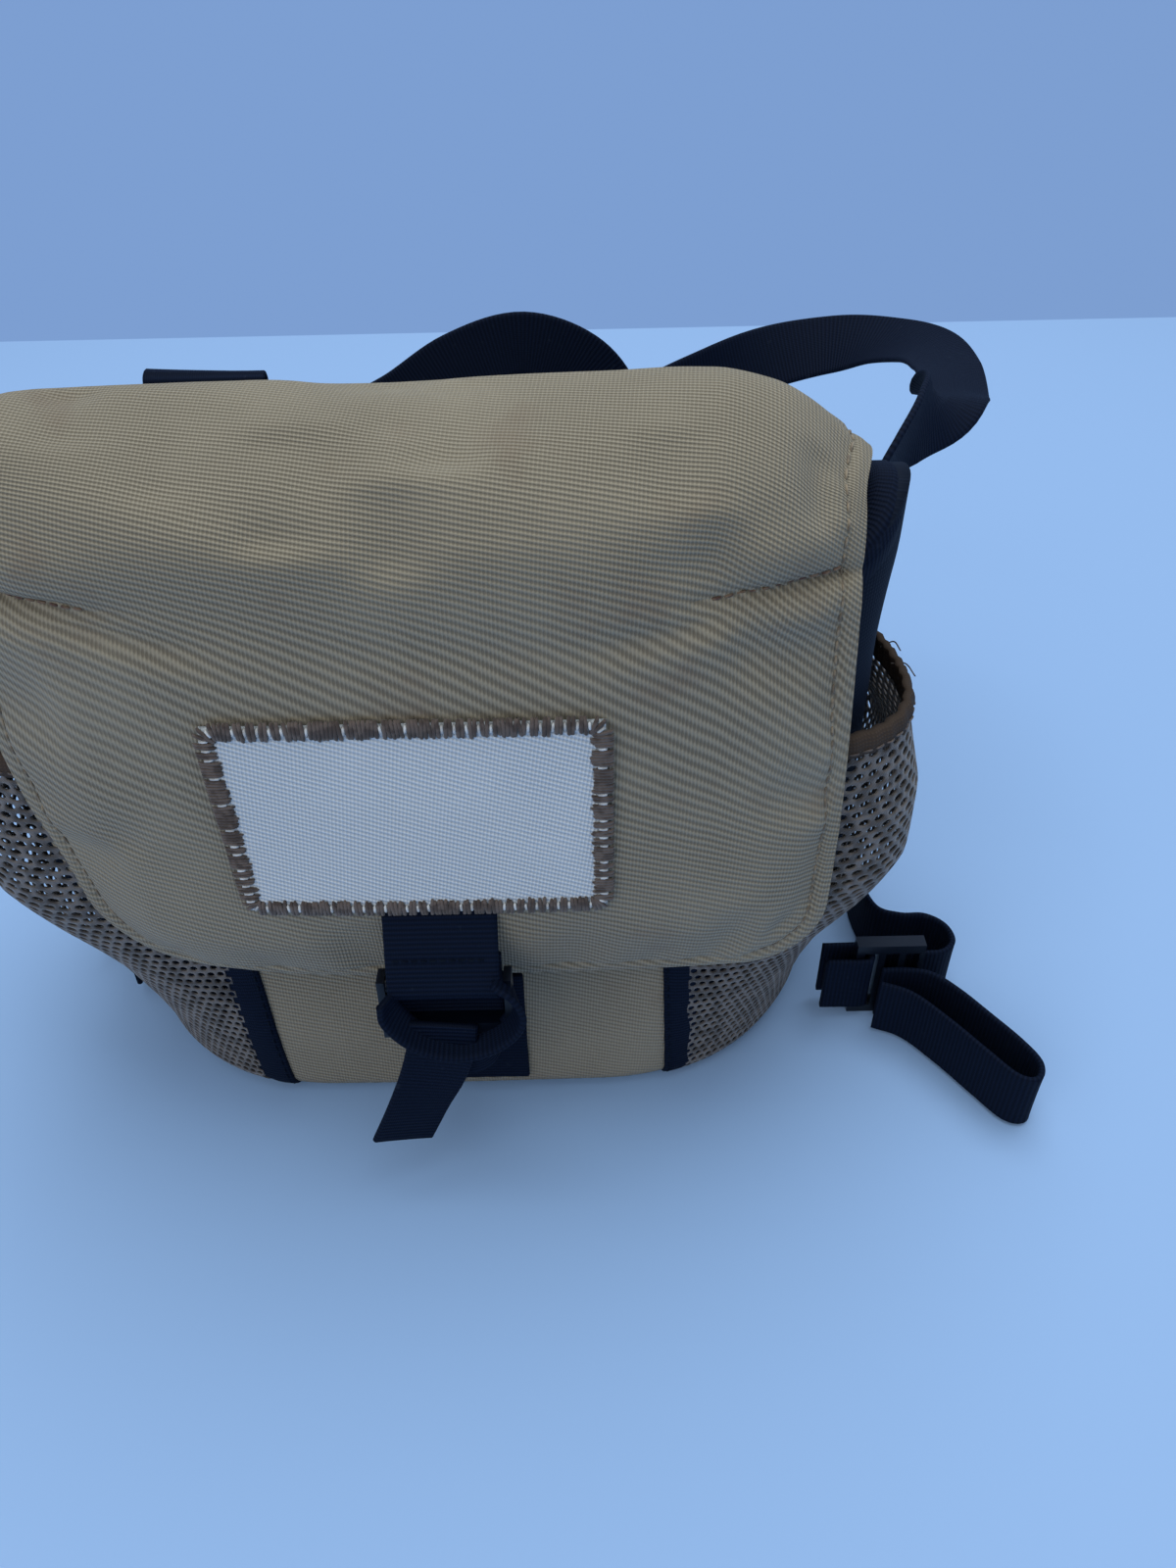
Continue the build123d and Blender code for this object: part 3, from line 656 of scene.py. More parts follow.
def lid_relief(point, near):
    """How far the padded surface stands off its profile: hems, darts, dents and soft waves."""
    x, y, z = point
    relief = -3.4 * (1 - ease(near / HEM_FADE))
    relief -= 0.6 * bell((near - HEM_INSET) / 0.75)
    relief += 0.35 * bell((near - HEM_INSET + 2.2) / 1.1)
    front = ease((-y - 38.0) / 12.0)
    for side in (-1, 1):
        inward = (LID_HALF - 5.0 - side * x) / DART_LENGTH
        line = DART_Z - 2.0 * clamp(inward)
        if -0.3 < inward < 1.7:
            reach = (1 - ease(inward - 0.35)) * (0.35 + 0.65 * ease(near / 7.0))
            relief -= 2.6 * reach * bell((z - line) / 1.3) * front
            relief -= 1.3 * reach * bell((z - line) / 5.0) * front
            relief += 1.3 * reach * bell((z - line - 6.5) / 5.0) * front
            relief += 1.1 * reach * bell((z - line + 6.0) / 4.0) * front
        along = (side * x - 30.0) / 36.0
        if 0 < along < 1:
            crease = DART_Z - 2.0 - CREASE_DROP * (1.15 - along) ** 0.8
            fade = ease(along * 2.5) * ease((1.0 - along) * 3)
            sharp = 1.3 + 1.8 * (1 - along)
            relief -= 1.4 * fade * bell((z - crease) / sharp) * front
            relief += 0.4 * fade * bell((z - crease + 5.0) / 3.6) * front
    relief -= 1.4 * bell((x + 44.0) / 30.0) * bell((z - 160.0 + 0.10 * (x + 44.0)) / 8.5) * front
    relief += 1.2 * bell((x + 8.0) / 66.0) * bell((z - 177.0) / 9.0) * front
    relief -= 1.2 * bell((x - 16.0) / 30.0) * bell((z - 153.0) / 6.5) * front
    quilt = ease(near / 22.0)
    relief += 0.6 * rumple(x, y, z, 46.0, 0.7) * quilt
    relief += 0.25 * rumple(x, y, z, 19.0, 3.1) * quilt
    return relief


def lid_grids():
    """Outer and inner grids of the quilt, the cloth's own coordinates, normals and hem distances."""
    grids = ([], [], [], [], [])
    bow = math.pi / 2 * 0.92
    for r in range(LID_ROWS + 1):
        v = 1 - (1 - r / LID_ROWS) ** 1.2
        rows = ([], [], [], [], [])
        for c in range(LID_COLS + 1):
            u = math.sin((2 * c / LID_COLS - 1) * bow) / math.sin(bow)
            point, normal, near = lid_frame(u, v)
            skin = point + normal * lid_relief(point, near)
            thick = mix(HEM_THICK, PAD_THICK, ease(near / HEM_FADE))
            thick = mix(thick, HINGE_PAD, 1 - ease(v * 12.0))
            cell = (skin, skin - normal * thick, (point.x, -v * LID_LENGTH), normal, near)
            for row, value in zip(rows, cell):
                row.append(value)
        for grid, row in zip(grids, rows):
            grid.append(row)
    return grids


LID_OUTER, LID_INNER, LID_UV, LID_NORMALS, LID_NEAR = lid_grids()


def lid_held(r, c):
    """The sewn places of the lid: its hems, its hinge and its two darts."""
    point = LID_OUTER[r][c]
    on_dart = abs(point.z - DART_Z) < 2.0 and abs(point.x) > LID_HALF - DART_LENGTH and point.y < -45.0
    return LID_NEAR[r][c] < HEM_INSET + 1.0 or r < 8 or on_dart


def lid_surface(x, z):
    """A point and normal on the lid's front at a place across and up."""
    best, found = 1e9, None
    for r in range(LID_ROWS // 3, LID_ROWS + 1):
        for c in range(LID_COLS + 1):
            point = LID_OUTER[r][c]
            far = (point.x - x) ** 2 + (point.z - z) ** 2
            if point.y < -35.0 and far < best:
                best, found = far, (r, c)
    r, c = found
    return LID_OUTER[r][c], LID_NORMALS[r][c]


def make_lid():
    swell(LID_OUTER, LID_INNER, lid_held, SIM_STEP, SIM_LIMIT)
    quilt = add_piece("lid_quilt", *slab(LID_OUTER, LID_INNER, LID_UV), TAN, "lid", "tan_twill")
    round_edges(quilt, "hem", 0.9, 50)
    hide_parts("lid_outer", "lid_foam")
    rows, cols = range(0, LID_ROWS - 5, 3), range(3, LID_COLS - 2, 3)

    def cell(row, col):
        r, c = rows[row], cols[col]
        point, normal = LID_INNER[r][c], LID_NORMALS[r][c]
        return point - normal * 0.15, point - normal * 0.75, LID_UV[r][c]

    lining = grid_piece("lid_lining_cloth", len(rows), len(cols), cell, LINING, "lid", "lining")
    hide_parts("lid_lining")


def hem_line(side):
    """Points and normals of the hem stitching, from the hinge down one side to the middle."""
    line = []
    for r in range(8, LID_ROWS + 1):
        columns = range(LID_COLS // 2, LID_COLS + 1) if side > 0 else range(LID_COLS // 2, -1, -1)
        for before, after in zip(columns, list(columns)[1:]):
            if LID_NEAR[r][before] >= HEM_INSET > LID_NEAR[r][after]:
                t = (LID_NEAR[r][before] - HEM_INSET) / (LID_NEAR[r][before] - LID_NEAR[r][after])
                point = LID_OUTER[r][before].lerp(LID_OUTER[r][after], t)
                line.append((point + LID_NORMALS[r][after] * 0.1, LID_NORMALS[r][after]))
                break
    return line


def make_lid_stitching():
    whole = hem_line(1) + list(reversed(hem_line(-1)))
    stitch_run("lid_hem_stitching", whole, "lid", TAN_THREAD, "tan_twill")
    for name, side in SIDES.items():
        line = []
        for k in range(9):
            x, z = side * (LID_HALF - 8.0 - (DART_LENGTH - 8.0) * k / 8), DART_Z - 2.0 * k / 8
            point, normal = lid_surface(x, z)
            line.append((Vector((x, point.y - 0.2, z)), normal))
        stitch_run(f"{name}_dart_stitching", line, "lid", DART_THREAD, "tan_twill", 1.9, 0.5, 0.28)


# The patch and its overlocked border

PATCH_MIDDLE = (PATCH_LOW + PATCH_HIGH) / 2
PATCH_HALF = (PATCH_HIGH - PATCH_LOW) / 2
PATCH_TUCK = 1.4
PATCH_THICK = 1.2
BORDER_MIDDLE = 2.1
OVERLOCK_PITCH = 0.78


def patch_lie():
    """How far forward the lid stands at a few places behind the patch, as rows of vectors."""
    def foremost(across, up):
        x = PATCH_MIDDLE.x + across * PATCH_HALF.x
        z = PATCH_MIDDLE.z + up * PATCH_HALF.z
        around = ((0, 0), (4, 0), (-4, 0), (0, 4), (0, -4))
        return Vector((min(lid_surface(x + a, z + b)[0].y for a, b in around), 0.0, 0.0))

    ups, places = (-1.0, -0.33, 0.33, 1.0), (-1.0, -0.5, 0.0, 0.5, 1.0)
    return [[foremost(across, up) for across in places] for up in ups]


PATCH_LIE = []


def patch_y(x, z):
    """The patch's own lie on the lid: it follows the padding, with a shallow wave of its own."""
    across = ((x - PATCH_MIDDLE.x) / PATCH_HALF.x + 1) / 2
    up = ((z - PATCH_MIDDLE.z) / PATCH_HALF.z + 1) / 2
    column = [curve_through(row, across) for row in PATCH_LIE]
    return curve_through(column, up).x - 1.1 + 0.2 * rumple(x, 0, z, 24.0, 1.9)


def make_patch():
    PATCH_LIE.extend(patch_lie())
    cols, rows = 60, 40
    half_x, half_z = PATCH_HALF.x - PATCH_TUCK, PATCH_HALF.z - PATCH_TUCK

    def cell(r, c):
        x = PATCH_MIDDLE.x + half_x * (2 * c / cols - 1)
        z = PATCH_MIDDLE.z + half_z * (2 * r / rows - 1)
        y = patch_y(x, z)
        return Vector((x, y, z)), Vector((x, y + PATCH_THICK, z)), (x, z)

    field = grid_piece("patch_cloth", rows + 1, cols + 1, cell, WHITE, "lid", "white_twill")
    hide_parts("patch_field")
    overlock = make_overlock()


def border_points(inset):
    """Points of a closed line round the patch, a distance inside its edge, from its middle."""
    half_x, half_z, corner = PATCH_HALF.x - inset, PATCH_HALF.z - inset, 2.2
    line = []
    for (sx, sz), start in (((1, -1), 270), ((1, 1), 0), ((-1, 1), 90), ((-1, -1), 180)):
        for k in range(7):
            angle = math.radians(start + 90 * k / 6)
            x = sx * (half_x - corner) + corner * math.cos(angle)
            line.append((x, sz * (half_z - corner) + corner * math.sin(angle)))
    return line + line[:1]


def make_overlock():
    """Overlock stitches: brown threads across the border with pale flecks between them."""
    line = border_points(BORDER_MIDDLE)
    threads, flecks = ([], [], []), ([], [], [])
    count, carried = 0, 0.0
    for (ax, az), (bx, bz) in zip(line, line[1:]):
        span = math.hypot(bx - ax, bz - az)
        along = (bx - ax) / span, (bz - az) / span
        inward = -along[1], along[0]
        while carried < span:
            x, z = ax + along[0] * carried, az + along[1] * carried
            pale = count % 3 == 0 and noise.noise(Vector((count * 1.37, 4.2, 0.3))) > -0.05
            size, outer_end = (0.45, 1.0) if pale else (1.0, 2.25)
            lean = 0.45 * noise.noise(Vector((count * 0.91, 7.7, 1.1)))
            length = 1.0 + 0.34 * noise.noise(Vector((count * 0.77, 1.7, 9.1)))
            rings = []
            # Each ring's reach across the border, how high it bows and how thick it is
            for reach, lift, girth in ((-outer_end, -0.4, 0.7), (-outer_end * 0.8, 0.5, 1.0),
                                       (0, 0.75, 1.05), (1.7 * length * size, 0.45, 1.0),
                                       (2.15 * length * size, -0.2, 0.45)):
                px = PATCH_MIDDLE.x + x + inward[0] * reach + along[0] * lean * reach * 0.5
                pz = PATCH_MIDDLE.z + z + inward[1] * reach + along[1] * lean * reach * 0.5
                py = patch_y(px, pz) - 0.15 - 0.42 * lift
                ring = []
                for k, (c, s) in enumerate(turns(5)):
                    wide, out = 0.46 * size ** 0.4 * girth * c, 0.34 * girth * s
                    point = (px + along[0] * wide, py - out, pz + along[1] * wide)
                    ring.append((point, (count * 3.1 + k, reach)))
                rings.append(ring)
            add_tube(flecks if pale else threads, rings)
            count += 1
            carried += OVERLOCK_PITCH
        carried -= span
    first = add_piece("patch_overlock", *threads, BORDER_BROWN, "lid", "overlock_thread")
    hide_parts("patch_border")
    second = add_piece("patch_overlock_flecks", *flecks, BORDER_WHITE, "lid", "overlock_thread")
    return [first, second]


# The body: one lofted shell with rounded lower corners, cut into its sewn panels

BACK_RADIUS = 17.0
PANEL_THICK = 5.2
RIM_FRONT_Z = 160.0
RIM_BACK_Z = 149.0
RIM_CORNER = {1: 14.0, -1: 6.0}
FOOT_CORNER = 60.0
MOUTH_CORNER = 21.0
CORNER_END_Z = 88.0
FOOT_RADIUS = 7.0
PANEL_FOOT = 0.6
PANEL_ROWS = 60
CHANNEL_X = 26.0
BODY_MIDDLE_Y = -1.5
RING_COUNT = 90
RIM_COUNT = 110
RIM_MIDDLE = (PANEL_THICK + 1.2) / 2
LINING_DEPTH = PANEL_THICK + 0.35


def front_radius(z):
    """The plan's front corner radius: wide at the base, tighter where the contents fill it."""
    return mix(FOOT_CORNER, MOUTH_CORNER, ease(z / CORNER_END_Z))


def half_round(z):
    """The length of the plan line from the middle of the front to the middle of the back."""
    radius = front_radius(z)
    depth = BODY_BACK - BODY_FRONT
    straight = (BODY_HALF - radius) + (depth - radius - BACK_RADIUS) + (BODY_HALF - BACK_RADIUS)
    return straight + math.pi / 2 * (radius + BACK_RADIUS)


def plan_point(s, z):
    """Plan point and outward normal on the right half, s millimetres from the front's middle."""
    radius = front_radius(z)
    first = BODY_HALF - radius
    if s <= first:
        return Vector((s, BODY_FRONT, 0)), Vector((0, -1, 0))
    s -= first
    if s <= radius * math.pi / 2:
        angle = s / radius
        normal = Vector((math.sin(angle), -math.cos(angle), 0))
        return Vector((first, BODY_FRONT + radius, 0)) + normal * radius, normal
    s -= radius * math.pi / 2
    second = BODY_BACK - BODY_FRONT - radius - BACK_RADIUS
    if s <= second:
        return Vector((BODY_HALF, BODY_FRONT + radius + s, 0)), Vector((1, 0, 0))
    s -= second
    if s <= BACK_RADIUS * math.pi / 2:
        angle = s / BACK_RADIUS
        normal = Vector((math.cos(angle), math.sin(angle), 0))
        return Vector((BODY_HALF - BACK_RADIUS, BODY_BACK - BACK_RADIUS, 0)) + normal * BACK_RADIUS, normal
    s -= BACK_RADIUS * math.pi / 2
    return Vector((BODY_HALF - BACK_RADIUS - s, BODY_BACK, 0)), Vector((0, 1, 0))


def wall_swell(point, normal, z):
    """How far the filled bag stands off its plan: a flare at the foot, soft bulges, a rolled base."""
    stand = 1.0 * math.sin(math.pi * clamp(z / 150.0)) * abs(normal.x)
    flare = bell((z - 12.0) / 20.0) * max(-normal.y, 0) * bell(point.x / 75.0)
    stand += 0.6 * flare
    stand -= 1.2 * bell((z - 52.0) / 22.0) * max(-normal.y, 0)
    stand += 2.6 * ease((z - 132.0) / 28.0) * bell((point.y + 20.0) / 18.0) * max(normal.x, 0)
    if z < FOOT_RADIUS:
        stand -= FOOT_RADIUS - math.sqrt(FOOT_RADIUS ** 2 - (FOOT_RADIUS - z) ** 2)
    return stand + 0.5 * rumple(point.x, point.y, z, 30.0, 5.0)


def wall_point(s, z, stand_off=0.0, side=1):
    """A point and normal on the wall, at s along the plan line and a height."""
    point, normal = plan_point(s, z)
    point = point + normal * (wall_swell(point, normal, z) + stand_off)
    point.z = z
    if side < 0:
        point.x, normal = -point.x, Vector((-normal.x, normal.y, 0))
    return point, normal


def rim_height(point):
    """The height of the mouth's edge, which falls to the back and peaks at the front corners."""
    back = clamp((point.y - BODY_FRONT) / (BODY_BACK - BODY_FRONT))
    corner = RIM_CORNER[1 if point.x > 0 else -1] * bell((abs(point.x) - 98.0) / 12.0)
    corner *= bell((point.y + 22.0) / 20.0)
    return mix(RIM_FRONT_Z, RIM_BACK_Z, back) + corner


def wall_panel(name, place, cols, material, slot, nodes):
    """A padded wall panel; place(across, up) gives where round the wall, height, side, lift, cloth."""
    def cell(r, c):
        s, z, side, lift, cloth = place(c / cols, r / PANEL_ROWS)
        point, normal = wall_point(s, z, 0.0, side)
        return point + normal * lift, point - normal * PANEL_THICK, (cloth, z)

    piece = grid_piece(name, PANEL_ROWS + 1, cols + 1, cell, material, "pack", slot)
    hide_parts(*nodes)


def front_place(across, up):
    x = SEAM_X * (2 * across - 1)
    return abs(x), mix(PANEL_FOOT, RIM_FRONT_Z, up), -1 if x < 0 else 1, 0.0, x


def side_place(side):
    """The place function of one side panel, which wraps round two corners up to the mouth's edge."""
    def place(across, up):
        top, _ = wall_point(mix(SEAM_X, half_round(80.0) - BACK_SEAM_X, across), 120.0, 0.0, side)
        z = mix(PANEL_FOOT, rim_height(top), up)
        s = mix(SEAM_X, half_round(z) - BACK_SEAM_X, across)
        return s, z, side, 0.0, s * side
    return place


def back_place(across, up):
    """The back panel's place function, with two stitched channels down it."""
    x = BACK_SEAM_X * (2 * across - 1)
    z = mix(PANEL_FOOT, RIM_BACK_Z, up)
    channel = bell((abs(x) - CHANNEL_X) / 1.6) * ease(z / 20.0)
    return half_round(z) - abs(x), z, -1 if x < 0 else 1, 0.9 - 2.0 * channel, x


def make_walls():
    wall_panel("front_panel", front_place, 60, TAN, "tan_twill", ("front_outer", "front_foam"))
    for name, side in SIDES.items():
        wall_panel(f"{name}_side_panel", side_place(side), 90, BLACK_CLOTH, "black_cloth",
                   (f"{name}_outer", f"{name}_foam"))
    wall_panel("back_panel", back_place, 60, BLACK_CLOTH, "black_cloth", ("back_outer", "back_foam"))


def round_wall(count):
    """Side and step of every place round the wall: from the front's middle round the right, and on."""
    return [(1, k) for k in range(count)] + [(-1, k) for k in range(count, 0, -1)]


def ring_at(z, stand_off):
    """Points all the way round the wall at a height."""
    return [wall_point(half_round(z) * k / RING_COUNT, z, stand_off, side)[0]
            for side, k in round_wall(RING_COUNT)]


def towards_middle(point, share, z):
    """A point of a ring, drawn in to the body's middle by a share and set at a height."""
    return Vector((point.x * share, BODY_MIDDLE_Y + (point.y - BODY_MIDDLE_Y) * share, z))


def make_base():
    """The base board in its cloth."""
    ring = ring_at(1.2, -2.0)
    shares = (1.0, 0.97, 0.85, 0.6, 0.3, 0.02)

    def cell(row, k):
        rise = 0.9 * (1 - ease((1 - shares[row]) / 0.05))
        low = towards_middle(ring[k], shares[row], rise)
        return low, Vector((low.x, low.y, 5.4)), (low.x, low.y)

    base = grid_piece("base_board", len(shares), len(ring), cell, BLACK_CLOTH, "pack", "black_cloth",
                      wrap=True)
    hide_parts("base_outer", "base_foam")


def make_lining():
    """The lining that hangs inside the walls and lies on the base."""
    ring = ring_at(60.0, -LINING_DEPTH)
    places = round_wall(RING_COUNT)
    drops, shares = 24, (0.97, 0.8, 0.5, 0.2, 0.02)

    def hanging(row, k):
        z = mix(rim_height(ring[k]) - 1.0, LINING_FLOOR + 1.0, row / drops)
        side, step = places[k]
        here, normal = wall_point(half_round(z) * step / RING_COUNT, z, -LINING_DEPTH, side)
        sag = 1.2 * ease(3 * row / drops) * rumple(here.x, here.y, z, 24.0, 8.0)
        return here - normal * (1.0 + sag), here - normal * (0.4 + sag), (k * 3.0, z)

    def cell(row, k):
        if row <= drops:
            return hanging(row, k)
        here = towards_middle(hanging(drops, k)[0], shares[row - drops - 1], LINING_FLOOR + 0.4)
        return here, here - Vector((0, 0, 0.6)), (here.x, here.y)

    rows = drops + 1 + len(shares)
    lining = grid_piece("compartment_lining", rows, len(ring), cell, LINING, "pack", "lining", wrap=True)
    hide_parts("front_lining", "back_lining", "left_lining", "right_lining", "base_lining")


def make_rim():
    """The folded tape round the mouth, as a flattened tube along the rim."""
    section = [(-4.1, -6.0), (-4.3, -2.0), (-3.6, 0.9), (-1.5, 2.1), (1.5, 2.1), (3.6, 0.9), (4.3, -2.0),
               (4.1, -6.0), (3.4, -6.2), (3.3, -1.0), (-3.3, -1.0), (-3.4, -6.2)]
    places = round_wall(RIM_COUNT)
    vertices, uvs, faces = [], [], []
    for ring, (side, k) in enumerate(places):
        edge, normal = wall_point(half_round(140.0) * k / RIM_COUNT, 140.0, -RIM_MIDDLE, side)
        for across, up in section:
            place = edge + normal * across
            vertices.append((place.x, place.y, rim_height(edge) + up))
            uvs.append((across + up, ring * 2.6))
    size = len(section)
    for r in range(len(places)):
        for c in range(size):
            d, q = (c + 1) % size, (r + 1) % len(places)
            faces.append((r * size + c, r * size + d, q * size + d, q * size + c))
    rim = add_piece("mouth_binding", vertices, faces, uvs, WEBBING, "pack", "black_webbing")
    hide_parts("rim_binding")


STRIP_WIDTH = 9.0
STRIP_LEAN = 3.0


def make_strips():
    """The binding tapes down the front seams, with a folded ridge and a stitched edge."""
    for name, side in SIDES.items():
        def lie(r, c):
            z, across = mix(0.9, STRIP_HIGH.z, r / 70), STRIP_WIDTH * (c / 8 - 0.5)
            s = SEAM_X + across + side * STRIP_LEAN * (1 - z / 90.0)
            ridge = 1.3 - 0.5 * abs(c / 4 - 1) ** 2 + 0.12 * rumple(0, 0, z, 9.0, side)
            return *wall_point(s, z, ridge, side), (across, z)

        def cell(r, c):
            point, normal, cloth = lie(r, c)
            return point, point - normal * 1.1, cloth

        strip = grid_piece(f"{name}_seam_tape", 71, 9, cell, WEBBING, "pack", "black_webbing")
        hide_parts(f"{name}_front_strip")
        edge = [lie(r, 1)[:2] for r in range(71)]
        stitches = [(point + normal * 0.05, normal) for point, normal in edge]
        stitch_run(f"{name}_tape_stitching", stitches, "pack", BLACK_THREAD, "black_webbing")


# The mesh pockets

NET_PITCH = 2.5
NET_TOP = ELASTIC_LOW.z
NET_SWELL = ((0.0, 0.8), (12.0, 0.9), (26.0, 2.2), (44.0, 5.4), (62.0, 10.8), (78.0, 15.0), (96.0, 14.2),
             (118.0, 8.8), (130.0, 8.0))


def net_swell(z):
    """How far the pocket's side stands off the body at a height."""
    for (low, first), (high, last) in zip(NET_SWELL, NET_SWELL[1:]):
        if z <= high:
            return mix(first, last, clamp((z - low) / (high - low)))
    return NET_SWELL[-1][1]


def pocket_point(share, z, side, lift=0.0):
    """A point and normal on the pocket, from the front seam (0) to the back corner (1)."""
    start = SEAM_X + 1.0
    end = half_round(z) - BACK_SEAM_X - 2.0
    point, normal = wall_point(mix(start, end, share), z, 0.0, side)
    reach = abs(normal.x) ** mix(2.2, 1.3, clamp(z / 110.0))
    ends = ease(share / 0.10) * ease((1 - share) / 0.14)
    drawn = mix(1.0, ease((20.0 - point.y) / 42.0), ease((z - 82.0) / 32.0))
    stand = 0.9 + net_swell(z) * (0.04 + 0.96 * reach) * ends * drawn
    stand += 0.8 * rumple(point.x, point.y, z, 22.0, 2.0 + side) * reach
    return point + normal * (stand + lift), normal


def make_pockets():
    """Both nets of knotted thread: each cell is a ring between its outline and a round hole."""
    cols = int((half_round(60.0) - BACK_SEAM_X - SEAM_X) / NET_PITCH)
    rows = int(NET_TOP / NET_PITCH)
    outline = [(2, 1), (2, 2), (1, 2), (0, 2), (0, 1), (0, 0), (1, 0), (2, 0)]
    hole = [(1 + 0.76 * c, 1 + 0.74 * s) for c, s in turns(8)]
    for name, side in SIDES.items():
        vertices, faces, uvs, index = [], [], [], {}

        def spot(across, up):
            """The vertex at a place counted in half cells; cells share the ones they both use."""
            if (across, up) not in index:
                index[across, up] = len(vertices)
                z = mix(1.0, NET_TOP, up / (2 * rows))
                vertices.append(pocket_point(clamp(across / (2 * cols)), z, side)[0])
                uvs.append((across * NET_PITCH / 2, up * NET_PITCH / 2))
            return index[across, up]

        for r in range(rows):
            for c in range(cols - r % 2):
                left, low = 2 * c + r % 2, 2 * r
                outside = [spot(left + a, low + b) for a, b in outline]
                inside = [spot(left + a, low + b) for a, b in hole]
                for k in range(8):
                    q = (k + 1) % 8
                    faces.append((outside[k], outside[q], inside[q], inside[k]))
        net = add_piece(f"{name}_pocket_net", vertices, faces, uvs, NET_BROWN, "pack", "brown_mesh")
        solid = net.modifiers.new("thread", "SOLIDIFY")
        solid.thickness = 0.55 * MM
        solid.offset = 0.0
        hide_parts(f"{name}_pocket_mesh")
        make_pocket_hem(name, side)


def make_pocket_hem(name, side):
    """The gathered elastic binding along the pocket's mouth, and its stitches."""
    def lie(c, r):
        z = mix(NET_TOP - 1.5, ELASTIC_HIGH.z - 2.5, r / 6)
        gather = 0.35 * math.sin(c * 1.9 + 0.6 * math.sin(c * 0.7)) * (0.3 + r / 8)
        round_off = 0.9 - 0.9 * (r / 3 - 1) ** 2
        point, normal = pocket_point(c / 120, NET_TOP - 0.5 + (z - NET_TOP) * 0.4, side, round_off + gather)
        return Vector((point.x, point.y, z)), normal, round_off

    def cell(c, r):
        point, normal, round_off = lie(c, r)
        return point, point - normal * (1.5 + round_off), (c / 120 * 170.0, point.z)

    hem = grid_piece(f"{name}_pocket_hem", 121, 7, cell, NET_CLOTH, "pack", "brown_binding")
    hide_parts(f"{name}_pocket_elastic")
    line = [lie(c, 2)[:2] for c in range(121)]
    line = [(point + normal * 0.1, normal) for point, normal in line]
    stitch_run(f"{name}_hem_stitching", line, "pack", BORDER_BROWN, "brown_binding")


# Webbing on the body, the closure and the harness

# How far each back loop's top hangs below its upright height
LOOP_DROOP = {1: 6.5, -1: 0.0}


def make_base_strap():
    """The webbing up the front panel."""
    middle_x = (WEB_LOW.x + WEB_HIGH.x) / 2
    stations = []
    for k in range(7):
        z = mix(WEB_LOW.z, WEB_HIGH.z, k / 6)
        point, _ = wall_point(middle_x, z, 1.0)
        stations.append(((middle_x, point.y, z), (1, 0, 0)))
    webbing("base_strap", stations, WIDE_STRAP, "pack", ["base_webbing"], WEBBING)


def make_keeper():
    """The elastic loop on the base strap, which the hook catches."""
    back_y = WEB_LOW.y - 0.6
    left, right, front = KEEPER_LOW.x + 0.7, KEEPER_HIGH.x - 0.7, KEEPER_LOW.y + 0.7
    up = (KEEPER_LOW.z + KEEPER_HIGH.z) / 2
    plan = [(left, back_y), (left - 0.4, back_y - 6), (left - 0.2, front + 5), (left + 3, front + 0.8),
            (mix(left, right, 0.5), front), (right - 3, front + 0.8), (right + 0.2, front + 5),
            (right + 0.4, back_y - 6), (right, back_y)]
    keeper = [((x, y, up - 0.6 * (y - back_y) / (front - back_y)), (0, 0.1, 1)) for x, y in plan]
    webbing("keeper", keeper, 8.0, "pack", ["keeper_loop"], ELASTIC, "elastic")


def make_back_loop(name, side):
    """A wide loop from the back panel up behind the lid and down again."""
    x = side * (LOOP_LOW.x + LOOP_HIGH.x) / 2
    on_back = BODY_BACK + 1.6
    route = [(on_back, LOOP_LOW.z + 2), (on_back, 104), (on_back, 124), (on_back + 3.4, 137),
             (53.5, 149), (58.5, 159), (61.0, LOOP_HIGH.z - 1.4), (62.9, 160.3), (62.6, 156), (59.0, 144),
             (54.5, 126), (49.5, 106), (46.5, 95), (45.0, LOOP_LOW.z + 2)]
    droop = LOOP_DROOP[side]
    route = [(y, z - droop * clamp((z - 128) / 30)) for y, z in route]
    stations = [((x + side * 1.2 * (z - 120) / 40, y, z), (1, 0, 0.04 * side)) for y, z in route]
    webbing(f"{name}_back_loop", stations, LOOP_HIGH.x - LOOP_LOW.x, "pack", [f"{name}_rear_loop"],
            WIDE_WEBBING)


def make_anchor_tab(name, side):
    """The tab that a shoulder strap is sewn to, with its crossed box of stitches."""
    anchor = [((side * (BODY_HALF + 2.0), 10, z), (0, 1, 0)) for z in (118, 126, 137, ANCHOR_TOP_Z)]
    webbing(f"{name}_anchor_tab", anchor, STRAP_WIDTH, "pack", [f"{name}_upper_anchor"], WEBBING)
    corners = [Vector((side * (BODY_HALF + 4.6), 10 + a, z))
               for a, z in ((-7, 130), (7, 130), (7, 142), (-7, 142), (-7, 130), (7, 142))]
    line = []
    for here, after in zip(corners, corners[1:]):
        line += [(here.lerp(after, t / 4), Vector((side, 0, 0))) for t in range(4)]
    stitch_run(f"{name}_box_stitch", line, "pack", BLACK_THREAD, "black_webbing")


def make_body_webbing():
    make_base_strap()
    make_keeper()
    for name, side in SIDES.items():
        make_back_loop(name, side)
        make_anchor_tab(name, side)


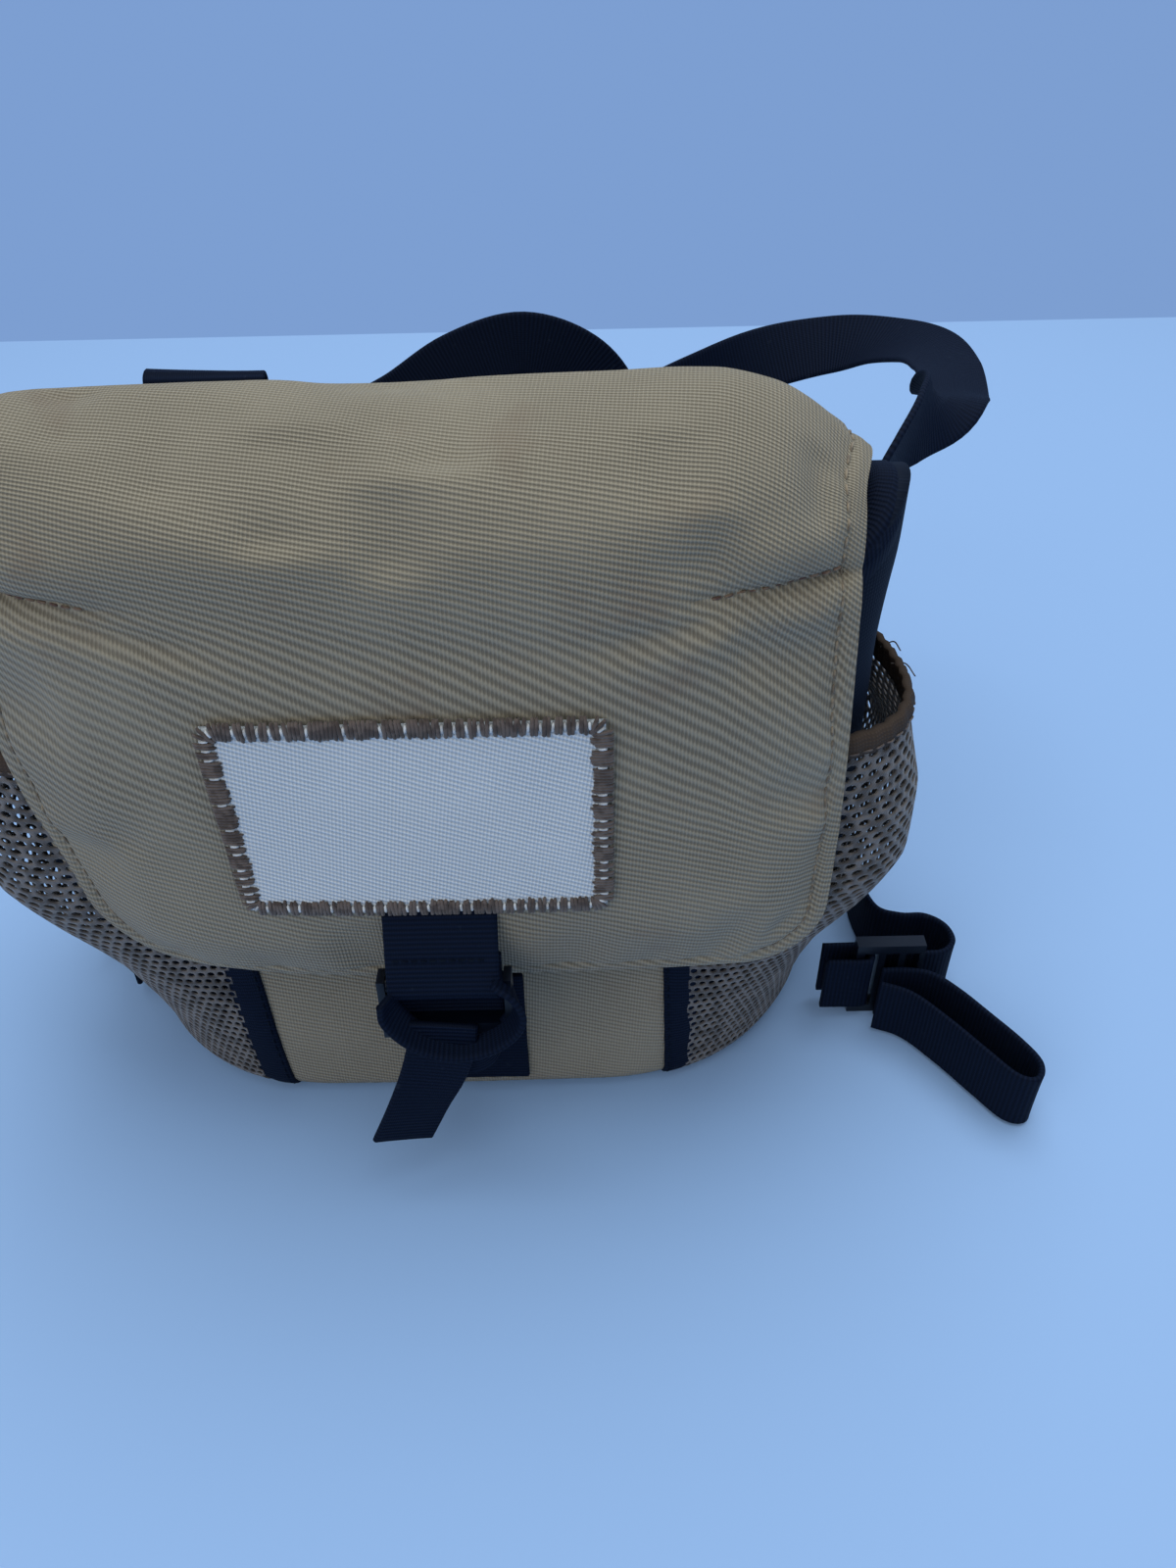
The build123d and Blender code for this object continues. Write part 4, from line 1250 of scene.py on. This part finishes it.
def make_hinge():
    """The cloth that joins the back panel's top to the lid."""
    half = LID_HIGH.x - 3.0
    route = [(BODY_BACK + 1.6, 128), (BODY_BACK + 1.7, 138), (BODY_BACK + 2.2, 148),
             (BODY_BACK + 3.1, 155), (BODY_BACK + 2.6, 160.5)]

    def cell(r, c):
        y, z = curve_through(route, r / 24)
        x = half * (c / 30 - 1)
        lift = 0.35 * rumple(x, 0, z, 15.0, 4.0)
        rise = 1.8 * (1 - (x / half) ** 2) * (r / 24)
        return Vector((x, y + lift + 0.4, z + rise)), Vector((x, y + lift - 0.6, z + rise)), (x, z)

    strip = grid_piece("hinge_cloth", 25, 61, cell, BLACK_CLOTH, None, "black_cloth")
    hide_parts("hinge_tape")
    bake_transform(strip)


CLOSURE_SLANT = math.radians(24.0)
CLOSURE_TOP = (LID_LOW.y + 0.3 + 0.6, PATCH_LOW.z - 2.9)
CLOSURE_DROP = 17.0

# The pull tab from its top: each move with the direction of its width
TAB_ROUTE = [
    ((0.0, -0.1, 0.0), (1, 0, 0)), ((-0.8, -0.7, -7.0), (1, 0.03, 0.05)),
    ((-3.6, -1.3, -17.0), (1, 0.15, 0.12)), ((-8.2, -2.3, -28.0), (1, 0.32, 0.14)),
    ((-13.2, -3.5, -39.5), (1, 0.36, 0.15)),
]
# The webbing behind the hook, in y and z from its low end
BEHIND_HOOK = ((-66.0, 53.0), (-63.6, 54.4), (-62.4, 58.0), (-61.8, 63.0), (-61.6, 66.5))
# The webbing ring sewn round the hook, from the closure's left edge down under it and up the
# right, each place with how its width leans
RING_ROUTE = [
    ((-12.6, -68.6, 69.0), 1), ((-12.2, -69.4, 64.5), 1), ((-8.6, -70.0, 58.8), 0.6),
    ((-3.5, -70.1, 54.6), 0.2), ((3.0, -69.8, 52.8), 0.0), ((9.8, -69.4, 54.6), -0.3),
    ((14.6, -68.8, 58.8), -0.8), ((16.4, -68.2, 63.6), -1), ((14.8, -67.2, 68.6), -1),
    ((11.6, -65.8, 71.6), -0.8),
]


def closure_local(y, z):
    """The scene's y and z of a place in the slanting closure strap's own frame."""
    return (
        CLOSURE_TOP[0] + y * math.cos(CLOSURE_SLANT) + z * math.sin(CLOSURE_SLANT),
        CLOSURE_TOP[1] - y * math.sin(CLOSURE_SLANT) + z * math.cos(CLOSURE_SLANT),
    )


def make_closure():
    """The webbing from under the patch, folded round its hook, with the seam that holds the fold."""
    heights = [PATCH_LOW.z + up for up in (24, 16, 8, 1.5)]
    under = [((CLOSURE_X, PATCH_LOW.y + 2.3, z), (1, 0, 0)) for z in heights]
    webbing("closure_root", under, WIDE_STRAP, "lid", ["closure_anchor"], WEBBING)
    bend = 3.1
    route = [(-bend + 0.2, 2.0), (-bend, -3.0), (-bend - 0.2, -8.5), (-bend, -CLOSURE_DROP + 1.0)]
    for k in range(1, 6):
        angle = math.pi * k / 6
        route.append((-bend * math.cos(angle), -CLOSURE_DROP - bend * math.sin(angle)))
    route += [(bend, -CLOSURE_DROP + 1.0), (bend - 0.3, -11.2)]
    stations = [((CLOSURE_X, *closure_local(y, z)), (1, 0, 0)) for y, z in route]
    webbing("closure_webbing", stations, WIDE_STRAP, "closure_strap", ["closure_strap"], WEBBING, steps=5)
    seam = []
    for k in range(13):
        y, z = closure_local(-bend - 0.95, -10.0)
        seam.append((Vector((CLOSURE_X - 11.5 + 23.0 * k / 12, y, z)), Vector((0, -1, 0.3)).normalized()))
    stitch_run("closure_bar_stitch", seam, "closure_strap", BLACK_THREAD, "black_webbing", 1.6, 0.5)


def make_tab_and_hook_loop():
    """The slanting pull tab, the webbing ring sewn round the hook, and the webbing behind it."""
    top = Vector((CLOSURE_X - 1.0, TAB_TOP.y, TAB_TOP.z))
    tab = [(top + Vector(move), across) for move, across in TAB_ROUTE]
    webbing("tab_webbing", tab, 16.0, "pull_tab", ["pull_tab"], WEBBING)
    middle = Vector((CLOSURE_X, 0, 0))
    ring = [(middle + Vector(place), (0.35 * lean, 0.9, 0.1)) for place, lean in RING_ROUTE]
    webbing("hook_loop", ring, 8.0, "closure_hook", [], WEBBING)
    behind = [((CLOSURE_X, y, z), (1, 0, 0)) for y, z in BEHIND_HOOK]
    webbing("hook_backing", behind, 26.0, "closure_hook", [], WEBBING)


# The right loop shows the camera its edge. Each place has how far its face opens away from the
# loop's middle, and how far its width has turned upright again on the way to the yoke
RIGHT_LOOP = (
    ((101.4, 11.5, 148), 0.12, 0), ((106.5, 17, 154.5), 0.2, 0), ((114, 27, 158), 0.28, 0),
    ((123.5, 43, 157), 0.34, 0), ((132, 63, 152), 0.38, 0), ((137, 88, 149), 0.42, 0),
    ((137, 111, 146), 0.5, 0), ((130, 131, 141), 0.6, 0), ((116, 143, 136), 0.7, 0.35),
    ((98, 145, 132), 0.85, 0.7),
)
LOOP_MIDDLE = Vector((114, 80, 140))
UPRIGHT = Vector((0, 0.3, 0.95))


def edge_on(place, opening, turned):
    """The direction of a strap's width at a place where the camera sees it nearly from its edge."""
    view = (Vector(place) - CAMERA_PLACE / MM).normalized()
    away = Vector(place) - LOOP_MIDDLE
    away = (away - view * away.dot(view)).normalized()
    width = (view * math.sqrt(1 - opening ** 2) + away * opening).normalized()
    return (width * (1 - turned) + UPRIGHT * turned).normalized()


# The shoulder straps' stations: a point and the direction of the strap's width
RIGHT_SHOULDER = [
    ((99, 10, 128), (0, 1, 0)), ((99.4, 10, 139), (0, 1, 0)),
    *((place, edge_on(place, opening, turned)) for place, opening, turned in RIGHT_LOOP),
    ((78, 139, 128), (0.1, 0.2, 0.95)), ((58, 129, 124), (0.3, 0.1, 0.9)),
    ((38, 119, 117), (0.6, 0, 0.75)), ((20, 112.5, 109), (0.9, 0, 0.4)),
    *(((12.5, 111, z), (1, 0, 0)) for z in (97, 72, 48, 25)),
]
LEFT_SHOULDER = [
    ((-99, 10, 128), (0, 1, 0)), ((-99.4, 10, 141), (0, 1, 0)), ((-101.2, 10.5, 148), (0, 1, 0)),
    ((-105.5, 16, 152), (0.2, 0.9, 0.3)), ((-109, 32, 150), (0.2, 0.3, 0.9)),
    ((-104, 55, 141), (-0.3, 0.1, 0.9)), ((-92, 82, 129), (-0.1, 0.1, 0.95)),
    ((-72, 108, 118), (0, 0.2, 0.95)), ((-50, 129, 114), (0, 0.2, 0.95)),
    ((-27, 141, 120), (0, 0.2, 0.95)), ((-6, 147, 131), (0, 0.2, 0.95)),
    ((16, 150, 136), (0, 0.15, 0.95)), ((36, 151, 128), (0.4, 0.1, 0.85)),
    ((46, 150, 112), (0.85, 0.1, 0.45)), ((44, 146, 94), (0.95, 0.1, 0)),
    ((31, 139, 82), (0.85, 0.1, -0.5)), ((15, 132, 80), (0.5, 0.1, -0.8)),
    ((0, 124.5, 84), (0.6, 0.1, -0.7)), ((-9, 117.5, 84), (0.85, 0.1, -0.4)),
    ((-12.2, 112.5, 79), (1, 0, -0.1)), *(((-12.5, 111, z), (1, 0, 0)) for z in (72, 48, 25)),
]
# The other straps stand on their edge, so plan points are enough
RIGHT_LOWER = [
    (1.5, 111), (30, 111), (62, 105), (90, 88), (108, 64), (116, 38), (116, 16), (118.5, 4), (125, 0.5),
    (132, 0), (137, -4), (138, -10), (134.5, -14), (129, -14.6), (122, -14.3), (115.5, -14.3),
]
LEFT_LOWER = [
    (-1.5, 111), (-30, 111), (-62, 104), (-90, 90), (-108, 72), (-115.5, 54), (-116.2, 38), (-116.2, 25),
]
RIGHT_TAIL = [
    (115.5, -20.7), (122, -20.7), (129, -22.5), (135, -28.5), (141, -37), (147, -46), (150, -53),
    (148, -58), (143, -57), (137, -49), (130, -39), (122, -29.5), (114, -25.5),
]
LEFT_TAIL = [(-109.8, 25), (-109.8, 38), (-107, 52), (-100, 64), (-90, 70), (-78, 68)]
RIGHT_ANCHOR = [
    (99.5, -14.3), (110.5, -14.3), (112.3, -15.2), (112.8, -17.5), (112.3, -19.8), (110.5, -20.7),
    (99.5, -20.7),
]
LEFT_ANCHOR = [
    (-100.5, -7), (-105.0, 5), (-109.0, 12), (-109.8, 18.4), (-110.8, 20.6), (-113, 21.3), (-115.4, 20.4),
    (-116.2, 18), (-116.2, 12),
]


def on_edge(plan_points, lift=0.25):
    """Stations of a strap that stands on its edge along plan points."""
    middle = STRAP_WIDTH / 2 + lift
    return [((x, y, middle), (0, 0, 1)) for x, y in plan_points]


def make_harness():
    straps = {
        "right_shoulder_strap": RIGHT_SHOULDER, "left_shoulder_strap": LEFT_SHOULDER,
        "right_lower_strap": on_edge(RIGHT_LOWER), "left_lower_strap": on_edge(LEFT_LOWER),
        "right_strap_tail": on_edge(RIGHT_TAIL), "left_strap_tail": on_edge(LEFT_TAIL),
        "right_lower_anchor": on_edge(RIGHT_ANCHOR, 3.9), "left_lower_anchor": on_edge(LEFT_ANCHOR, 3.9),
    }
    for node, stations in straps.items():
        webbing(f"{node}_webbing", stations, STRAP_WIDTH - 0.4, "pack", [node], WEBBING)
    make_yoke()


YOKE_SEAM = 0.90


def make_yoke():
    """Two leather patches that sandwich the straps, with softened edges and a sewn border."""
    shares = (1.0, 0.985, 0.95, YOKE_SEAM, 0.86, 0.6, 0.3, 0.02)
    for name, node, out in (("front", "yoke_front_patch", -1), ("back", "yoke_back_patch", 1)):
        low, high = box_mm(node)
        middle_z, half_x, half_z = (low.z + high.z) / 2, (high.x - low.x) / 2, (high.z - low.z) / 2
        face_y, back_y = (low.y, high.y) if out < 0 else (high.y, low.y)

        def lie(share, k, sink):
            c, s = math.cos(2 * math.pi * k / 96), math.sin(2 * math.pi * k / 96)
            x = half_x * math.copysign(abs(c) ** 0.4, c) * share
            z = half_z * math.copysign(abs(s) ** 0.4, s) * share
            return Vector((x, face_y - out * sink, middle_z + z))

        def cell(row, k):
            share = shares[row]
            soft = 0.7 * (1 - ease((1 - share) / 0.04)) + 0.35 * bell((share - YOKE_SEAM) / 0.02)
            here = lie(share, k, soft)
            return here, Vector((here.x, back_y, here.z)), (here.x, here.z - middle_z)

        piece = grid_piece(f"yoke_{name}_leather", len(shares), 96, cell, LEATHER, "pack", "yoke_leather",
                           wrap=True)
        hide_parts(node)
        line = [(lie(YOKE_SEAM, k, 0.25), Vector((0, out, 0))) for k in range(97)]
        stitch_run(f"yoke_{name}_stitching", line, "pack", BLACK_THREAD, "yoke_leather")


def finish_cad_nodes():
    """Bevels and plastic on the moulded CAD pieces."""
    for node in ("closure_hook", "left_ladder_lock", "right_ladder_lock", "left_slider", "right_slider"):
        piece = NODES[node]
        piece.data.materials.clear()
        piece.data.materials.append(PLASTIC)
        round_edges(piece, "moulded_edges", 0.45, 40, harden=True)


# Stage, light and camera


def solid_colour(name, colour, rough):
    made = Shader(name, rough, 0.2)
    drift = made.speckle(made.object_place(), 2.2, 2.0)
    return made.finish(made.blend(drift, tuple(c * 0.97 for c in colour), colour))


def make_stage():
    """The table: wide to the sides and front, with its far edge where the photo shows it."""
    wide, far, drop = 4, 0.56, 0.0001
    corners = [(-wide, -wide, -drop), (wide, -wide, -drop), (wide, far, -drop), (-wide, far, -drop)]
    mesh = bpy.data.meshes.new("table")
    mesh.from_pydata(corners, [], [(0, 1, 2, 3)])
    mesh.materials.append(solid_colour("table_top", (0.285, 0.450, 0.745), 0.75))
    table = add_object("table", mesh)


def make_world():
    """A blue surround for what the camera sees, and a paler one that lights the pieces."""
    world = bpy.data.worlds.new("studio")
    bpy.context.scene.world = world
    world.use_nodes = True
    tree = world.node_tree
    tree.nodes.clear()
    seen = tree.nodes.new("ShaderNodeBackground")
    seen.inputs[0].default_value = (0.205, 0.345, 0.640, 1)
    light = tree.nodes.new("ShaderNodeBackground")
    light.inputs[0].default_value = (0.86, 0.94, 1.0, 1)
    light.inputs[1].default_value = 0.55
    path = tree.nodes.new("ShaderNodeLightPath")
    looking = path.outputs["Is Camera Ray"]
    for ray in ("Is Glossy Ray", "Is Transmission Ray"):
        either = tree.nodes.new("ShaderNodeMath")
        either.operation = "MAXIMUM"
        tree.links.new(looking, either.inputs[0])
        tree.links.new(path.outputs[ray], either.inputs[1])
        looking = either.outputs[0]
    join = tree.nodes.new("ShaderNodeMixShader")
    for index, source in enumerate((looking, light.outputs[0], seen.outputs[0])):
        tree.links.new(source, join.inputs[index])
    out = tree.nodes.new("ShaderNodeOutputWorld")
    tree.links.new(join.outputs[0], out.inputs[0])


LOOSE_THREADS = {
    "thread_pocket": ((104, -16, 120), (107, -17, 120.5), (109, -19, 118.5)),
    "thread_mouth": ((103, -9, 120), (105.5, -10, 122), (106.5, -13, 121.5)),
}


def make_loose_threads():
    """Two pulled threads at the pocket's mouth."""
    count, radius = 16, 0.17
    outline = [Vector((c, 0.4 * s, s)) * radius for c, s in turns(5)]
    for name, points in LOOSE_THREADS.items():
        tubes, rings = ([], [], []), []
        for k in range(count + 1):
            here = curve_through(points, k / count)
            rings.append([(here + swing, (k, j)) for j, swing in enumerate(outline)])
        add_tube(tubes, rings)
        add_piece(name, *tubes, NET_BROWN, "pack", "brown_mesh")


def add_lamp(name, place, target, size, watts, colour):
    data = bpy.data.lights.new(name, "AREA")
    data.shape = "SQUARE"
    data.size = size
    data.energy = watts
    data.color = colour
    lamp = add_object(name, data)
    lamp.location = place
    lamp.rotation_euler = (Vector(target) - Vector(place)).to_track_quat("-Z", "Y").to_euler()


def make_lights():
    add_lamp("overhead", (0.15, 0.25, 1.5), (0, 0, 0.1), 1.3, 16.5, (0.92, 0.98, 1.0))
    add_lamp("front_fill", (-0.7, -1.1, 1.0), (0, 0, 0.1), 1.0, 6.0, (1.0, 0.94, 0.86))


def make_camera():
    data = bpy.data.cameras.new("camera")
    data.lens = 27.0
    data.sensor_width = 36.0
    data.sensor_fit = "AUTO"
    data.clip_start = 0.01
    camera = add_object("camera", data)
    tilt = Matrix.Rotation(math.radians(50.0), 4, "X")
    roll = Matrix.Rotation(math.radians(-1.2), 4, "Z")
    camera.matrix_world = Matrix.Translation(CAMERA_PLACE) @ tilt @ roll
    bpy.context.scene.camera = camera


make_camera()
make_stage()
make_world()
make_lights()
bpy.context.scene.view_settings.view_transform = "Standard"
make_lid()
make_lid_stitching()
make_patch()
make_walls()
make_base()
make_lining()
make_rim()
make_strips()
make_pockets()
make_body_webbing()
make_hinge()
make_closure()
make_tab_and_hook_loop()
make_harness()
make_loose_threads()
finish_cad_nodes()
